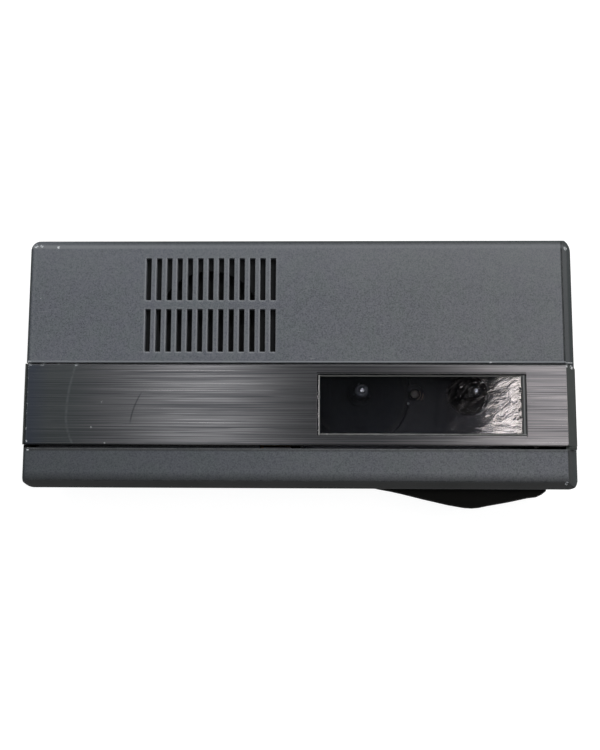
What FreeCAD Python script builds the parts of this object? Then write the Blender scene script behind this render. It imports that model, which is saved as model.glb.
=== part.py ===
# Handheld dictation machine for small cassettes, every piece a solid of its own, in millimetres.
# It lies on its flat back. X runs along the case, +Y points to the long edge beside the grille,
# +Z comes out of the front face, and the origin is the middle of the back.
import FreeCAD
import Part
import math
import os
from FreeCAD import Vector

# Case
case_length = 122.5
case_width = 55.6
case_depth = 26.0
split_drop = 14.0
shell = 1.5
right_wall = 2.8
back_wall = 1.6
plan_corner = 2.2
right_bevel = 2.7
right_bevel_drop = 2.8
lower_bevel = 1.7
lower_bevel_drop = 2.6
edge_round = 0.9
back_chamfer = 1.2

# Cassette door across the whole front
seam_y = -0.1
seam_gap = 0.15
door_height = 18.1
finger_gap = 0.72
door_proud = 0.35
door_overhang = 0.25
door_frame_depth = 1.5
door_plate_thickness = 0.5
door_hinge_reach = 2.5
door_hinge_drop = 1.4
door_cheek = 1.4
sill_drop = 5.0
sill_gap = 0.3
sill_ledge = 1.3
hinge_pin_radius = 0.4
hinge_fit = 0.05
hinge_post = 1.4
hinge_post_radius = 0.8
hinge_pin_length = 5.6

# Window in the door
window_shift = 22.75
window_length = 45.9
window_height = 13.6
window_inset = 2.35
window_gap = 0.25
window_rise = 0.15
window_bevel = 0.3
window_flange = 1.0
window_flange_thickness = 0.4

# Speaker grille, two rows of upright slots
slot_count = 13
slot_pitch = case_length / 52.35
slot_width = 1.22
slot_length = 9.65
slot_row_gap = 2.0
slot_first_inset = 11.6 * slot_pitch
slot_last_y = 2.35

# Loudspeaker behind it
speaker_shift = 0.34
speaker_y = 9.42
speaker_radius = slot_pitch * 5.385
speaker_drop = 3.9
speaker_rim = 1.0
speaker_height = 3.1
magnet_radius = 6.0
basket_wall = 1.2
backing_thickness = 0.6
gauze_thickness = 0.2
speaker_fit = 0.2

# Cassette and its bay
cassette_length = 50.0
cassette_width = 33.0
cassette_thickness = 8.1
cassette_back_to_hubs = 12.1
bay_clearance = 0.6
bay_wall = 1.0
bay_floor = 1.2
bay_drop = 12.0
bay_pad = 0.4
hub_mid_inset = 34.65
hub_y = -6.05
hub_spacing = 25.5

# Deck plate that carries the mechanism
deck_drop = 1.6
deck_thickness = 1.0
deck_margin = 1.4

# Reels
spindle_pin_radius = 0.55
spindle_height = 9.6
spindle_sleeve_radius = 1.5
spindle_fin_reach = 2.3
spindle_fin_thickness = 0.7
running_fit = 0.06
take_up_radius = 10.4
take_up_tyre_width = 0.8
take_up_well_gap = 0.6
supply_radius = 4.6
supply_well_gap = 0.33
reel_disc_thickness = 1.2

# Drive
capstan_inset = 50.75
capstan_setback = 16.3
capstan_radius = 0.75
capstan_rise = 7.5
bearing_radius = 2.2
flywheel_radius = 11.5
flywheel_thickness = 3.0
flywheel_z = 3.4
hub_pulley_radius = 3.5
idler_roller_radius = 1.25
idler_shaft_radius = 0.6
idler_pulley_radius = 4.5
idler_recess = 2.3
motor_end_inset = 22.75
motor_inset = 11.0
motor_radius = 8.0
motor_shaft_radius = 0.5
motor_lift = 2.0
motor_pulley_radius = 1.9
belt_thickness = 0.8
belt_width = 0.6
belt_seat = 0.4
belt_fit = 0.05

# Head carriage, heads and pinch roller
carriage_travel = 2.5
carriage_thickness = 1.2
carriage_lift = 0.2
head_width = 8.0
head_depth = 5.0
head_height = 6.4
erase_width = 4.0
erase_shift = 10.5
pinch_radius = 2.6
pinch_height = 5.0
pinch_pin_radius = 0.7
pinch_nip = 0.1

# Thumb slide on the lower long side
slide_travel = 4.0
slide_length = 38.6
slide_end_inset = 5.05
slide_peak_inset = 22.05
slide_peak = 4.56
slide_grip_step = 2.0
slide_grip_width = 0.7
slide_grip_depth = 0.4
slide_height = 6.0
slide_lift = 1.2
slide_wall_gap = 0.15
slide_stem_height = 2.0
slide_stem_length = 16.0
link_thickness = 0.8
link_drop = 1.8
cam_pin_radius = 0.8
cam_fit = 0.1
cam_pin_inset = 8.05
cam_pin_setback = 0.85

# Cells, their box and its lid
cell_headroom = 11.5
cell_end_room = 72.0
cell_spring_room = 3.5
cell_side_room = 0.5
cell_box_wall = 1.2
cell_box_inset = 3.75
contact_thickness = 0.3
lid_thickness = 1.3
lid_gap = 0.15
lid_tongue = 0.8
lid_tongue_thickness = 0.5
lid_travel = 58.0

# Circuit board and what it carries
board_thickness = 1.2
wheel_inset = 15.25
wheel_radius = 6.0
wheel_thickness = 2.0
wheel_sunk = 0.3
knurl_count = 24
knurl_depth = 0.3
pot_radius = 4.5
pot_height = 1.8
record_inset = 49.25
record_lift = 1.4
record_radius = 2.4
record_travel = 1.0
record_fit = 0.2
mic_radius = 2.5
mic_length = 4.0
mic_y = 8.0

# Sockets in the right end
jack_z = 5.6
power_jack_length = 9.5
power_jack_side = 7.2
jack_length = 14.0
jack_side = 6.0
jack_nose_radius = 2.8
jack_bore_radius = 1.8
ear_jack_y = -8.5
mic_jack_y = -1.5
power_jack_y = 6.5
power_nose_radius = 3.2
power_bore_radius = 2.75
power_pin_radius = 0.9

# Screws and the posts that they go into
case_boss_half = 2.5
case_screw_radius = 1.0
case_screw_head = 2.0
case_screw_inset = 3.75
case_screw_length = 18.0
post_half = 1.9
deck_screw_radius = 0.8
deck_screw_depth = 5.0

half_length = case_length / 2
split_z = case_depth - split_drop
sill_z = case_depth - sill_drop
speaker_top_z = case_depth - speaker_drop
bay_floor_z = case_depth - bay_drop
deck_z = bay_floor_z - deck_drop
spindle_tip_z = bay_floor_z + spindle_height
capstan_top_z = bay_floor_z + capstan_rise
slide_z = split_z + slide_lift
hub_mid_x = half_length - hub_mid_inset
window_x = hub_mid_x - window_shift
capstan_x = half_length - capstan_inset
motor_x = half_length - motor_end_inset
cam_pin_x = half_length - cam_pin_inset
slide_right_x = half_length - slide_end_inset
slide_left_x = slide_right_x - slide_length
slide_peak_x = half_length - slide_peak_inset
slot_first_x = slot_first_inset - half_length
speaker_x = slot_first_x + (slot_count - 1) / 2 * slot_pitch - speaker_shift
speaker_opening = speaker_radius - speaker_rim
cell_diameter = case_depth - cell_headroom
cell_length = case_length - cell_end_room
cell_box_x = cell_box_inset - half_length
wheel_x = wheel_inset - half_length
record_x = record_inset - half_length
half_width = case_width / 2
motor_y = half_width - motor_inset
capstan_y = half_width - capstan_setback
ceiling_z = case_depth - shell
door_top_z = case_depth + door_proud
door_low_y = seam_y - seam_gap - door_height
lower_zone_y = door_low_y - finger_gap
pivot_y = seam_y - seam_gap - door_hinge_reach
pivot_z = door_top_z - door_hinge_drop
frame_top_z = door_top_z - door_plate_thickness
frame_low_z = frame_top_z - door_frame_depth
door_half = half_length + door_overhang
plate_right_x = door_half - right_bevel - door_overhang + 0.1
window_top_y = seam_y - seam_gap - window_inset
bay_left = hub_mid_x - cassette_length / 2 - bay_clearance
bay_right = hub_mid_x + cassette_length / 2 + bay_clearance
bay_low_y = hub_y - cassette_back_to_hubs - bay_clearance
bay_high_y = hub_y - cassette_back_to_hubs + cassette_width + bay_clearance
take_up_x = hub_mid_x - hub_spacing / 2
supply_x = hub_mid_x + hub_spacing / 2
deck_low_z = deck_z - deck_thickness
link_z = deck_low_z - link_drop
motor_low_z = flywheel_z + motor_lift
boss_x = half_length - case_screw_inset
boss_y = half_width - case_screw_inset + 0.25
cell_box_length = cell_length + cell_spring_room
cell_box_half = cell_diameter + cell_side_room
cell_box_right = cell_box_x + cell_box_length
cell_roof_z = lid_thickness + cell_diameter + 0.6
board_z = cell_roof_z + cell_box_wall
board_top_z = board_z + board_thickness
record_z = board_top_z + record_lift
tyre_radius = take_up_radius + take_up_tyre_width
flywheel_top_z = flywheel_z + flywheel_thickness
wheel_y = half_width - wheel_sunk - wheel_radius
carriage_low_y = bay_high_y + carriage_travel + 0.4
cam_pin_y = carriage_low_y + cam_pin_setback
carriage_z = deck_z + carriage_lift
carriage_top_z = carriage_z + carriage_thickness
pinch_rest_y = capstan_y + capstan_radius + pinch_radius + pinch_nip + carriage_travel
record_y = -half_width


def box(x0, x1, y0, y1, z0, z1):
    return Part.makeBox(x1 - x0, y1 - y0, z1 - z0, Vector(x0, y0, z0))


def drum(x, y, z0, z1, radius):
    return Part.makeCylinder(radius, z1 - z0, Vector(x, y, z0))


def plate(points, z0, z1):
    corners = [Vector(x, y, z0) for x, y in points]
    return Part.Face(Part.makePolygon(corners + corners[:1])).extrude(Vector(0, 0, z1 - z0))


def bar(points, x0, x1):
    """Prism along X from a section given as Y and Z."""
    corners = [Vector(x0, y, z) for y, z in points]
    return Part.Face(Part.makePolygon(corners + corners[:1])).extrude(Vector(x1 - x0, 0, 0))


def rail(points, y0, y1):
    """Prism along Y from a section given as X and Z."""
    corners = [Vector(x, y0, z) for x, z in points]
    return Part.Face(Part.makePolygon(corners + corners[:1])).extrude(Vector(0, y1 - y0, 0))


def ring_point(x, y, radius, z, index, sides):
    angle = 2 * math.pi * index / sides
    return Vector(x + radius * math.cos(angle), y + radius * math.sin(angle), z)


def faceted(points, x, y, sides):
    """Like turned, with flat sides, for pieces inside the case."""
    faces = []
    for (r0, z0), (r1, z1) in zip(points, points[1:] + points[:1]):
        for index in range(sides):
            corners = [ring_point(x, y, r0, z0, index, sides)]
            if r0 > 0:
                corners.append(ring_point(x, y, r0, z0, index + 1, sides))
            if r1 > 0:
                corners.append(ring_point(x, y, r1, z1, index + 1, sides))
            corners.append(ring_point(x, y, r1, z1, index, sides))
            if r0 > 0 or r1 > 0:
                faces.append(Part.Face(Part.makePolygon(corners + corners[:1])))
    body = Part.Solid(Part.makeShell(faces))
    if body.Volume < 0:
        body.reverse()
    return body.removeSplitter()


def prism(x, y, z0, z1, radius, sides):
    """Upright bar with flat sides; the radius is that of its corners."""
    corners = [ring_point(x, y, radius, z0, index, sides) for index in range(sides)]
    return Part.Face(Part.makePolygon(corners + corners[:1])).extrude(Vector(0, 0, z1 - z0))


def lying_prism(x0, x1, y, z, radius, sides):
    """The same bar lying along X."""
    angles = [2 * math.pi * (index + 0.5) / sides for index in range(sides)]
    return bar([(y + radius * math.cos(a), z + radius * math.sin(a)) for a in angles], x0, x1)


def rounded(x0, x1, y0, y1, z0, z1, radius):
    block = box(x0, x1, y0, y1, z0, z1)
    uprights = [e for e in block.Edges if abs(e.Vertexes[0].Z - e.Vertexes[1].Z) > 1e-6]
    return block.makeFillet(radius, uprights)


def joined(first, *others):
    return first.fuse(list(others)).removeSplitter()


def without(first, *others):
    return first.cut(list(others)).removeSplitter()


def edges_near(shape, test):
    return [e for e in shape.Edges if test(e.BoundBox)]


def loop(ax, ay, ar, bx, by, br, z0, z1):
    """Solid inside the tight loop round two circles, the larger one first."""
    distance = math.hypot(bx - ax, by - ay)
    along = math.atan2(by - ay, bx - ax)
    lean = math.acos((ar - br) / distance)

    def point(cx, cy, radius, angle):
        return Vector(cx + radius * math.cos(angle), cy + radius * math.sin(angle), z0)

    far_steps = 10
    near_steps = 24
    corners = []
    for index in range(far_steps + 1):
        corners.append(point(bx, by, br, along + lean - 2 * lean * index / far_steps))
    sweep = 2 * (math.pi - lean)
    for index in range(near_steps + 1):
        corners.append(point(ax, ay, ar, along - lean - sweep * index / near_steps))
    return Part.Face(Part.makePolygon(corners + corners[:1])).extrude(Vector(0, 0, z1 - z0))


def bowed_leaf(x, bulge, y0, y1, z0, z1, thickness):
    """Spring leaf that stands at x and bows out by the bulge half way up."""
    side = math.copysign(thickness, bulge)
    mid = (z0 + z1) / 2
    edges = [
        Part.Arc(Vector(x, y0, z0), Vector(x + bulge, y0, mid), Vector(x, y0, z1)).toShape(),
        Part.LineSegment(Vector(x, y0, z1), Vector(x + side, y0, z1)).toShape(),
        Part.Arc(Vector(x + side, y0, z1), Vector(x + bulge + side, y0, mid), Vector(x + side, y0, z0)).toShape(),
        Part.LineSegment(Vector(x + side, y0, z0), Vector(x, y0, z0)).toShape(),
    ]
    return Part.Face(Part.Wire(Part.__sortEdges__(edges))).extrude(Vector(0, y1 - y0, 0))


def case_block(z0, z1):
    return rounded(-half_length, half_length, -half_width, half_width, z0, z1, plan_corner)


def end_bevel(x, z, run, drop):
    """Wedge that bevels a right-hand end whose face edge lies at x and z."""
    slope = drop / run
    return rail([(x, z), (x + 3 * run, z - 3 * run * slope), (x + 3 * run, z + 1), (x, z + 1)],
                -case_width, case_width)


def case_holes(z0, z1, radius, sides):
    return [prism(sx * boss_x, sy * boss_y, z0, z1, radius, sides) for sx in (-1, 1) for sy in (-1, 1)]


def case_bosses(z0, z1, grow):
    """Square corner blocks that the case screws go through."""
    half = case_boss_half + grow
    shapes = []
    for sx in (-1, 1):
        for sy in (-1, 1):
            x = sx * boss_x
            y = sy * boss_y
            shapes.append(box(x - half, x + half, y - half, y + half, z0, z1))
    return shapes


def slot_cutter(x, y):
    return box(x - slot_width / 2, x + slot_width / 2, y, y + slot_length, ceiling_z - 1, case_depth + 1)


def front_cover():
    body = case_block(split_z, case_depth)
    rim = edges_near(body, lambda b: b.ZMin > case_depth - 0.01)
    body = body.makeFillet(edge_round, rim)
    body = body.cut(end_bevel(half_length - right_bevel, case_depth, right_bevel, right_bevel_drop))
    low = half_width - lower_bevel
    slope = lower_bevel_drop / lower_bevel
    body = body.cut(bar([(-low, case_depth), (-low - 5, case_depth - 5 * slope), (-low - 5, case_depth + 1),
                         (-low, case_depth + 1)], -case_length, case_length))
    cavity = rounded(-half_length + shell, half_length - right_wall, -half_width + shell, half_width - shell,
                     split_z - 1, ceiling_z, plan_corner - 0.7)
    body = body.cut(cavity)
    inner_low = -half_width + shell
    sill_wall = box(-half_length + shell, half_length - right_wall, lower_zone_y - shell, lower_zone_y,
                    board_top_z + 0.2, ceiling_z)
    body = body.fuse(sill_wall)
    ledge = box(-half_length + shell, bay_left - 10, lower_zone_y - 0.1, lower_zone_y + sill_ledge, sill_z - 1.0,
                sill_z - 0.2)
    body = body.fuse(ledge)
    body = body.cut(box(-case_length, case_length, lower_zone_y, pivot_y, sill_z, case_depth + 5))
    body = body.cut(box(-case_length, case_length, pivot_y - 1, seam_y, pivot_z, case_depth + 5))
    body = body.cut(Part.makeCylinder(door_hinge_reach + seam_gap, 2 * case_length,
                                      Vector(-case_length, pivot_y, pivot_z), Vector(1, 0, 0)))
    body = body.fuse(case_bosses(split_z, ceiling_z, 0))
    for x0 in (-half_length + shell, half_length - right_wall - hinge_post):
        post = box(x0 - 0.01, x0 + hinge_post + 0.01, pivot_y - hinge_post_radius, pivot_y + hinge_post_radius,
                   board_top_z + 0.2, pivot_z)
        barrel = lying_prism(x0 - 0.01, x0 + hinge_post + 0.01, pivot_y, pivot_z, hinge_post_radius, 12)
        bore = lying_prism(x0 - 0.01, x0 + hinge_post + 0.01, pivot_y, pivot_z, hinge_pin_radius + 2 * hinge_fit, 12)
        body = body.fuse([post, barrel])
        body = body.cut(bore)
    slots = []
    for column in range(slot_count):
        x = slot_first_x + column * slot_pitch
        for row in range(2):
            y = slot_last_y + row * (slot_length + slot_row_gap)
            slots.append(slot_cutter(x, y))
    body = body.cut(slots)
    body = body.cut(case_holes(split_z - 1, case_screw_length, case_screw_radius, 10))
    stem_low = (slide_left_x + slide_right_x - slide_stem_length) / 2
    body = body.cut(box(stem_low - 0.4, stem_low + slide_stem_length + slide_travel + 0.4, -half_width - 1,
                        inner_low + 0.5, split_z - 1, slide_z + slide_stem_height / 2 + 0.2))
    hole = Part.makeCylinder(record_radius + record_fit, shell + 2, Vector(record_x, record_y - 1, record_z),
                             Vector(0, 1, 0))
    body = body.cut(hole)
    wheel_slot = drum(wheel_x, wheel_y, board_top_z + pot_height - 0.5,
                      board_top_z + pot_height + wheel_thickness + 0.5, wheel_radius + 0.5)
    scoop = Part.makeCylinder(9, 2 * wheel_radius - 3, Vector(wheel_x - wheel_radius + 1.5, half_width + 8.2,
                              board_top_z + pot_height + wheel_thickness / 2), Vector(1, 0, 0))
    body = body.cut([wheel_slot, scoop])
    for step in (-1, 0, 1):
        y = mic_y + 1.6 * step
        z = board_top_z + mic_radius + 0.2
        body = body.cut(box(-half_length - 1, -half_length + shell + 1, y - 0.4, y + 0.4, z - 1.5, z + 1.5))
    return body.removeSplitter()


def rear_cover():
    body = case_block(0, split_z)
    rim = edges_near(body, lambda b: b.ZMax < 0.01)
    body = body.makeChamfer(back_chamfer, rim)
    cavity = rounded(-half_length + shell, half_length - shell, -half_width + shell, half_width - shell,
                     back_wall, split_z + 1, plan_corner - 0.7)
    body = body.cut(cavity)
    body = body.fuse(case_bosses(1, split_z, 0))
    cell_box = box(cell_box_x - cell_box_wall, cell_box_right + cell_box_wall, -cell_box_half - cell_box_wall,
                   cell_box_half + cell_box_wall, 0.5, board_z)
    body = body.fuse(cell_box)
    body = body.cut(box(cell_box_x, cell_box_right, -cell_box_half, cell_box_half, -1, cell_roof_z))
    body = body.cut(box(-case_length, cell_box_right + lid_gap, -cell_box_half, cell_box_half, -1,
                        lid_thickness + lid_gap))
    groove = box(-case_length, cell_box_right, -cell_box_half - lid_tongue - lid_gap,
                 cell_box_half + lid_tongue + lid_gap, 0.6 - lid_gap, 0.6 + lid_tongue_thickness + lid_gap)
    body = body.cut(groove)
    posts = []
    for x, y in deck_posts():
        posts.append(box(x - post_half, x + post_half, y - post_half, y + post_half, 1, deck_low_z))
    body = body.fuse(posts)
    body = body.fuse(box(capstan_x - 1.5, capstan_x + 1.5, capstan_y - 1.5, capstan_y + 1.5, 1, 1.9))
    sinks = case_holes(-1, split_z + 1, case_screw_radius + 0.1, 10)
    sinks.extend(case_holes(-1, 1.6, case_screw_head + 0.15, 24))
    for x, y in deck_posts():
        sinks.append(prism(x, y, deck_low_z - deck_screw_depth - 1, deck_low_z + 1, deck_screw_radius, 8))
    body = body.cut(sinks)
    for y, radius in ((ear_jack_y, jack_nose_radius), (mic_jack_y, jack_nose_radius),
                      (power_jack_y, power_nose_radius)):
        body = body.cut(lying_prism(half_length - shell - 1, half_length + 1, y, jack_z, radius, 32))
    return body.removeSplitter()


def deck_posts():
    return [(bay_left + 3, bay_low_y + 2.8), (bay_right - 6.5, bay_low_y + 2.8), (25.5, half_width - shell - 2)]


def battery_door():
    left = -half_length
    body = box(left, cell_box_right - lid_gap, -cell_box_half + lid_gap, cell_box_half - lid_gap, 0,
               lid_thickness)
    rim = edges_near(body, lambda b: b.XMax < left + 0.01 and b.ZMax < 0.01)
    body = body.makeChamfer(lid_thickness * 0.75, rim)
    body = body.fuse(box(cell_box_x, cell_box_right - 2, -cell_box_half - lid_tongue, cell_box_half + lid_tongue,
                         0.6, 0.6 + lid_tongue_thickness))
    grips = []
    for index in range(5):
        x = left + 8 + 2 * index
        grips.append(box(x, x + 0.9, -6, 6, -1, 0.45))
    return without(body, *grips)


def frame_section():
    """Door section across the hinge as Y and Z, rounded about the pivot at the seam."""
    lip = math.sqrt(door_hinge_reach ** 2 - (frame_top_z - pivot_z) ** 2)
    low_lip = math.sqrt(door_hinge_reach ** 2 - (frame_low_z - pivot_z) ** 2)
    a = Vector(0, pivot_y + lip, frame_top_z)
    b = Vector(0, pivot_y + door_hinge_reach, pivot_z)
    c = Vector(0, pivot_y + low_lip, frame_low_z)
    edges = [
        Part.Arc(a, b, c).toShape(),
        Part.LineSegment(c, Vector(0, door_low_y, frame_low_z)).toShape(),
        Part.LineSegment(Vector(0, door_low_y, frame_low_z), Vector(0, door_low_y, frame_top_z)).toShape(),
        Part.LineSegment(Vector(0, door_low_y, frame_top_z), a).toShape(),
    ]
    return Part.Face(Part.Wire(Part.__sortEdges__(edges)))


def window_hole(grow, z0, z1):
    return box(window_x - grow, window_x + window_length + grow, window_top_y - window_height - grow,
               window_top_y + grow, z0, z1)


def door_frame():
    face = frame_section()
    body = face.extrude(Vector(2 * door_half, 0, 0))
    body.translate(Vector(-door_half, 0, 0))
    cheek_low = sill_z + sill_gap
    for x0 in (-door_half, door_half - door_cheek):
        body = body.fuse(box(x0, x0 + door_cheek, door_low_y, pivot_y - sill_gap, cheek_low, frame_low_z + 0.01))
        knuckle = Part.makeCylinder(door_hinge_reach, door_cheek, Vector(x0, pivot_y, pivot_z), Vector(1, 0, 0))
        body = body.fuse(knuckle.common(box(-case_length, case_length, -case_width, case_width, 0, frame_top_z)))
    body = body.cut(end_bevel(plate_right_x + 0.15, frame_top_z, right_bevel, right_bevel_drop))
    left_edge = edges_near(body, lambda b: b.ZMin > frame_top_z - 0.01 and b.XMax < 0.01 - door_half)
    body = body.makeChamfer(0.45, left_edge)
    body = body.cut(window_hole(0, frame_low_z - 1, frame_top_z + 1))
    for x0 in (-half_length + shell, half_length - right_wall - hinge_post):
        body = body.cut(box(x0 - 0.2, x0 + hinge_post + 0.2, pivot_y - hinge_post_radius - 0.4, seam_y + 1,
                            frame_low_z - 1, frame_top_z))
    for x0 in pin_starts():
        body = body.cut(Part.makeCylinder(hinge_pin_radius, hinge_pin_length, Vector(x0, pivot_y, pivot_z),
                                          Vector(1, 0, 0)))
    tongue = bar([(door_low_y + 0.05, frame_low_z + 0.01), (door_low_y + 0.05, sill_z + 1.2),
                  (door_low_y + 0.5, sill_z + 0.4), (door_low_y + 1.1, sill_z + 0.4),
                  (door_low_y + 1.1, frame_low_z + 0.01)], -8, -2)
    ribs = []
    for x in (-48, -36, -24, -12):
        ribs.append(box(x, x + 0.8, door_low_y + 2, pivot_y - 2, frame_low_z - 0.8, frame_low_z + 0.01))
    return joined(body, tongue, *ribs)


def pin_starts():
    return (-half_length + shell, half_length - right_wall - hinge_pin_length)


def door_pin(x0):
    return Part.makeCylinder(hinge_pin_radius, hinge_pin_length, Vector(x0, pivot_y, pivot_z), Vector(1, 0, 0))


def door_plate():
    high = math.sqrt(door_hinge_reach ** 2 - door_hinge_drop ** 2)
    low = math.sqrt(door_hinge_reach ** 2 - (frame_top_z - pivot_z) ** 2)
    body = bar([(door_low_y, frame_top_z), (pivot_y + low, frame_top_z), (pivot_y + high, door_top_z),
                (door_low_y, door_top_z)], -door_half + 0.7, plate_right_x)
    corners = edges_near(body, lambda b: b.XLength < 0.01 and b.YMax < door_low_y + 0.01)
    body = body.makeFillet(0.5, corners)
    return without(body, window_hole(0, frame_top_z - 1, door_top_z + 1))


def door_window():
    low_z = frame_low_z
    high_z = door_top_z + window_rise
    block = window_hole(-window_gap, low_z - 0.01, high_z)
    top = edges_near(block, lambda b: b.ZMin > high_z - 0.01)
    block = block.makeChamfer(window_bevel, top)
    flange = window_hole(window_flange, low_z - window_flange_thickness, low_z)
    keep = box(bay_left - 0.3, bay_right + 0.3, -case_width, pivot_y + 0.9, 0, case_depth + 5)
    return joined(block, flange.common(keep))


def door_catch():
    """Bent leaf on the sill wall that holds the door's tongue shut."""
    wall = lower_zone_y
    return bar([(wall, board_top_z + 0.4), (wall + 0.3, board_top_z + 0.4), (wall + 0.3, sill_z - 0.6),
                (wall + 0.62, sill_z + 0.9), (wall + 0.3, sill_z + 2.2), (wall, sill_z + 2.2)], -8, -2)


def inner_panel():
    """Cover over the circuit board that shows when the door stands open."""
    high_y = speaker_y - speaker_radius - 0.3
    body = box(-half_length + shell + 1.6, bay_left - bay_wall - 0.2, lower_zone_y + 2.4, high_y, sill_z + 0.1,
               sill_z + 0.9)
    legs = []
    for x in (-half_length + shell + 3, bay_left - bay_wall - 3.2):
        for y in (lower_zone_y + 3.6, high_y - 1.6):
            legs.append(box(x - 0.8, x + 0.8, y - 0.8, y + 0.8, board_top_z, sill_z + 0.2))
    relief = []
    for index in range(5):
        y = lower_zone_y + 6.0 + index * 1.8
        relief.append(box(-50, -14, y, y + 0.6, sill_z + 0.5, sill_z + 2))
    body = joined(body, *legs)
    return without(body, *relief)


def grille_backing():
    """Dark plate behind the slots with a round opening and three ribs that hold the loudspeaker."""
    body = box(slot_first_x - 2, slot_first_x + (slot_count - 1) * slot_pitch + 2, slot_last_y - 1,
               slot_last_y + 2 * slot_length + slot_row_gap + 1, ceiling_z - backing_thickness, ceiling_z)
    body = body.cut(prism(speaker_x, speaker_y, 0, case_depth, speaker_opening, 36))
    reach = speaker_radius + speaker_fit
    low = speaker_top_z - 1.0
    ribs = [box(x0, x0 + 1, speaker_y - 3, speaker_y + 3, low, ceiling_z)
            for x0 in (speaker_x - reach - 1, speaker_x + reach)]
    ribs.append(box(speaker_x - 3, speaker_x + 3, speaker_y + reach, speaker_y + reach + 1, low, ceiling_z))
    return joined(body, *ribs)


def speaker_gauze():
    return prism(speaker_x, speaker_y, speaker_top_z, speaker_top_z + gauze_thickness, speaker_radius - 0.2, 36)


def speaker_basket():
    top = speaker_top_z
    low = top - speaker_height
    r = speaker_radius
    section = [(magnet_radius - basket_wall, low + 1.0), (magnet_radius, low + 1.0), (r - 1.8, top - 0.7),
               (r, top - 0.7), (r, top), (r - 1.0, top), (r - 1.8, top - 0.4),
               (magnet_radius - basket_wall, low + 1.3)]
    return faceted(section, speaker_x, speaker_y, 20)


def speaker_magnet():
    low = speaker_top_z - speaker_height
    return prism(speaker_x, speaker_y, low, low + 1.0, magnet_radius, 24)


def speaker_cone():
    top = speaker_top_z - 0.2
    low = speaker_top_z - speaker_height + 1.6
    r = speaker_radius - 2.2
    section = [(0, low), (3.0, low), (r, top - 0.1), (r, top + 0.1), (3.0, low + 0.3), (0, low + 0.7)]
    return faceted(section, speaker_x, speaker_y, 24)


def main_board():
    body = box(-half_length + shell + 0.8, bay_left - bay_wall - 1.2, -half_width + shell + 3.2,
               half_width - shell - 0.6, board_z, board_top_z)
    body = body.cut(case_bosses(board_z - 1, board_top_z + 1, 0.4))
    return body.removeSplitter()


def amplifier_chip():
    x = -30.0
    y = (lower_zone_y + seam_y) / 2
    body = box(x - 6, x + 6, y - 2.6, y + 2.6, board_top_z + 0.3, board_top_z + 1.9)
    legs = []
    for index in range(4):
        lx = x - 5.2 + index * 3.3
        legs.append(box(lx, lx + 0.5, y - 3.6, y + 3.6, board_top_z, board_top_z + 0.6))
    return joined(body, *legs)


def capacitor():
    x = speaker_x - speaker_radius - 5.6
    y = 5.5
    top = ceiling_z - 0.8
    return faceted([(0, board_top_z), (2.4, board_top_z), (2.4, top - 0.3), (2.1, top), (0, top)], x, y, 16)


def bias_coil():
    y = (lower_zone_y + seam_y) / 2
    x = bay_left - 14.75
    body = box(x - 2.75, x + 2.75, y - 2.75, y + 2.75, board_top_z, board_top_z + 1.9)
    return without(body, prism(x, y, board_top_z + 1.2, board_top_z + 3, 1.1, 12))


def volume_pot():
    top = board_top_z + pot_height
    body = prism(wheel_x, wheel_y, board_top_z, top - 0.3, pot_radius, 20)
    return joined(body, prism(wheel_x, wheel_y, top - 0.4, top + wheel_thickness - 0.4, 0.9, 12))


def volume_wheel():
    """Thumb wheel with a knurled rim."""
    low = board_top_z + pot_height
    top = low + wheel_thickness
    rim = []
    for index in range(2 * knurl_count):
        radius = wheel_radius if index % 2 == 0 else wheel_radius - knurl_depth
        angle = math.pi * index / knurl_count
        rim.append((wheel_x + radius * math.cos(angle), wheel_y + radius * math.sin(angle)))
    body = plate(rim, low, top)
    return without(body, prism(wheel_x, wheel_y, low - 1, top - 0.3, 0.9 + 2 * running_fit, 12))


def microphone_capsule():
    x = -half_length + shell + 0.1
    z = board_top_z + mic_radius + 0.2
    body = lying_prism(x, x + mic_length, mic_y, z, mic_radius, 20)
    return joined(body, box(x + 1, x + mic_length, mic_y - 1, mic_y + 1, board_top_z, board_top_z + 1))


def record_switch():
    y1 = lower_zone_y - shell - 0.3
    y0 = record_travel + 1.1 - half_width + shell
    body = box(record_x - 3.2, record_x + 3.2, y0, y1, board_top_z, record_z + 1.9)
    plunger_hole = box(record_x - 1.1, record_x + 1.1, y0 - 0.1, y0 + 1.8, record_z - 1.1, record_z + 1.1)
    return without(body, plunger_hole)


def record_button():
    y0 = record_y + 0.1
    axis = Vector(0, 1, 0)
    inner = -half_width + shell
    cap = Part.makeCylinder(record_radius, shell + 0.5, Vector(record_x, y0, record_z), axis)
    flange = box(record_x - record_radius - 0.7, record_x + record_radius + 0.7, inner + 0.05, inner + 0.65,
                 record_z - 1.3, record_z + record_radius + 0.5)
    stem = box(record_x - 0.7, record_x + 0.7, inner + 0.4, inner + 2.8, record_z - 0.7, record_z + 0.7)
    trim = box(record_x - 5, record_x + 5, -case_width, 0, board_top_z + 0.15, case_depth)
    return joined(cap, flange, stem).common(trim)


def deck_plate():
    x0 = bay_left - bay_wall
    x1 = bay_right + deck_margin + 1.0
    y0 = bay_low_y - 0.2
    y1 = half_width - shell - 0.5
    body = box(x0, x1, y0, y1, deck_low_z, deck_z)
    shaft = idler_shaft_radius + 2 * running_fit
    holes = [prism(capstan_x, capstan_y, 0, 30, bearing_radius, 20), prism(hub_mid_x, hub_y, 0, 30, shaft, 12)]
    run = cam_pin_radius + 0.4
    holes.append(box(cam_pin_x - run, cam_pin_x + run, cam_pin_y - carriage_travel - run, cam_pin_y + run, 0, 30))
    collar = prism(hub_mid_x, hub_y, deck_low_z - 1.0, deck_low_z, 1.6, 12)
    body = body.fuse(collar).cut(holes)
    screws = [prism(x, y, deck_low_z - deck_screw_depth, deck_z, deck_screw_radius, 8) for x, y in deck_posts()]
    return joined(body, *screws)


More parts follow.
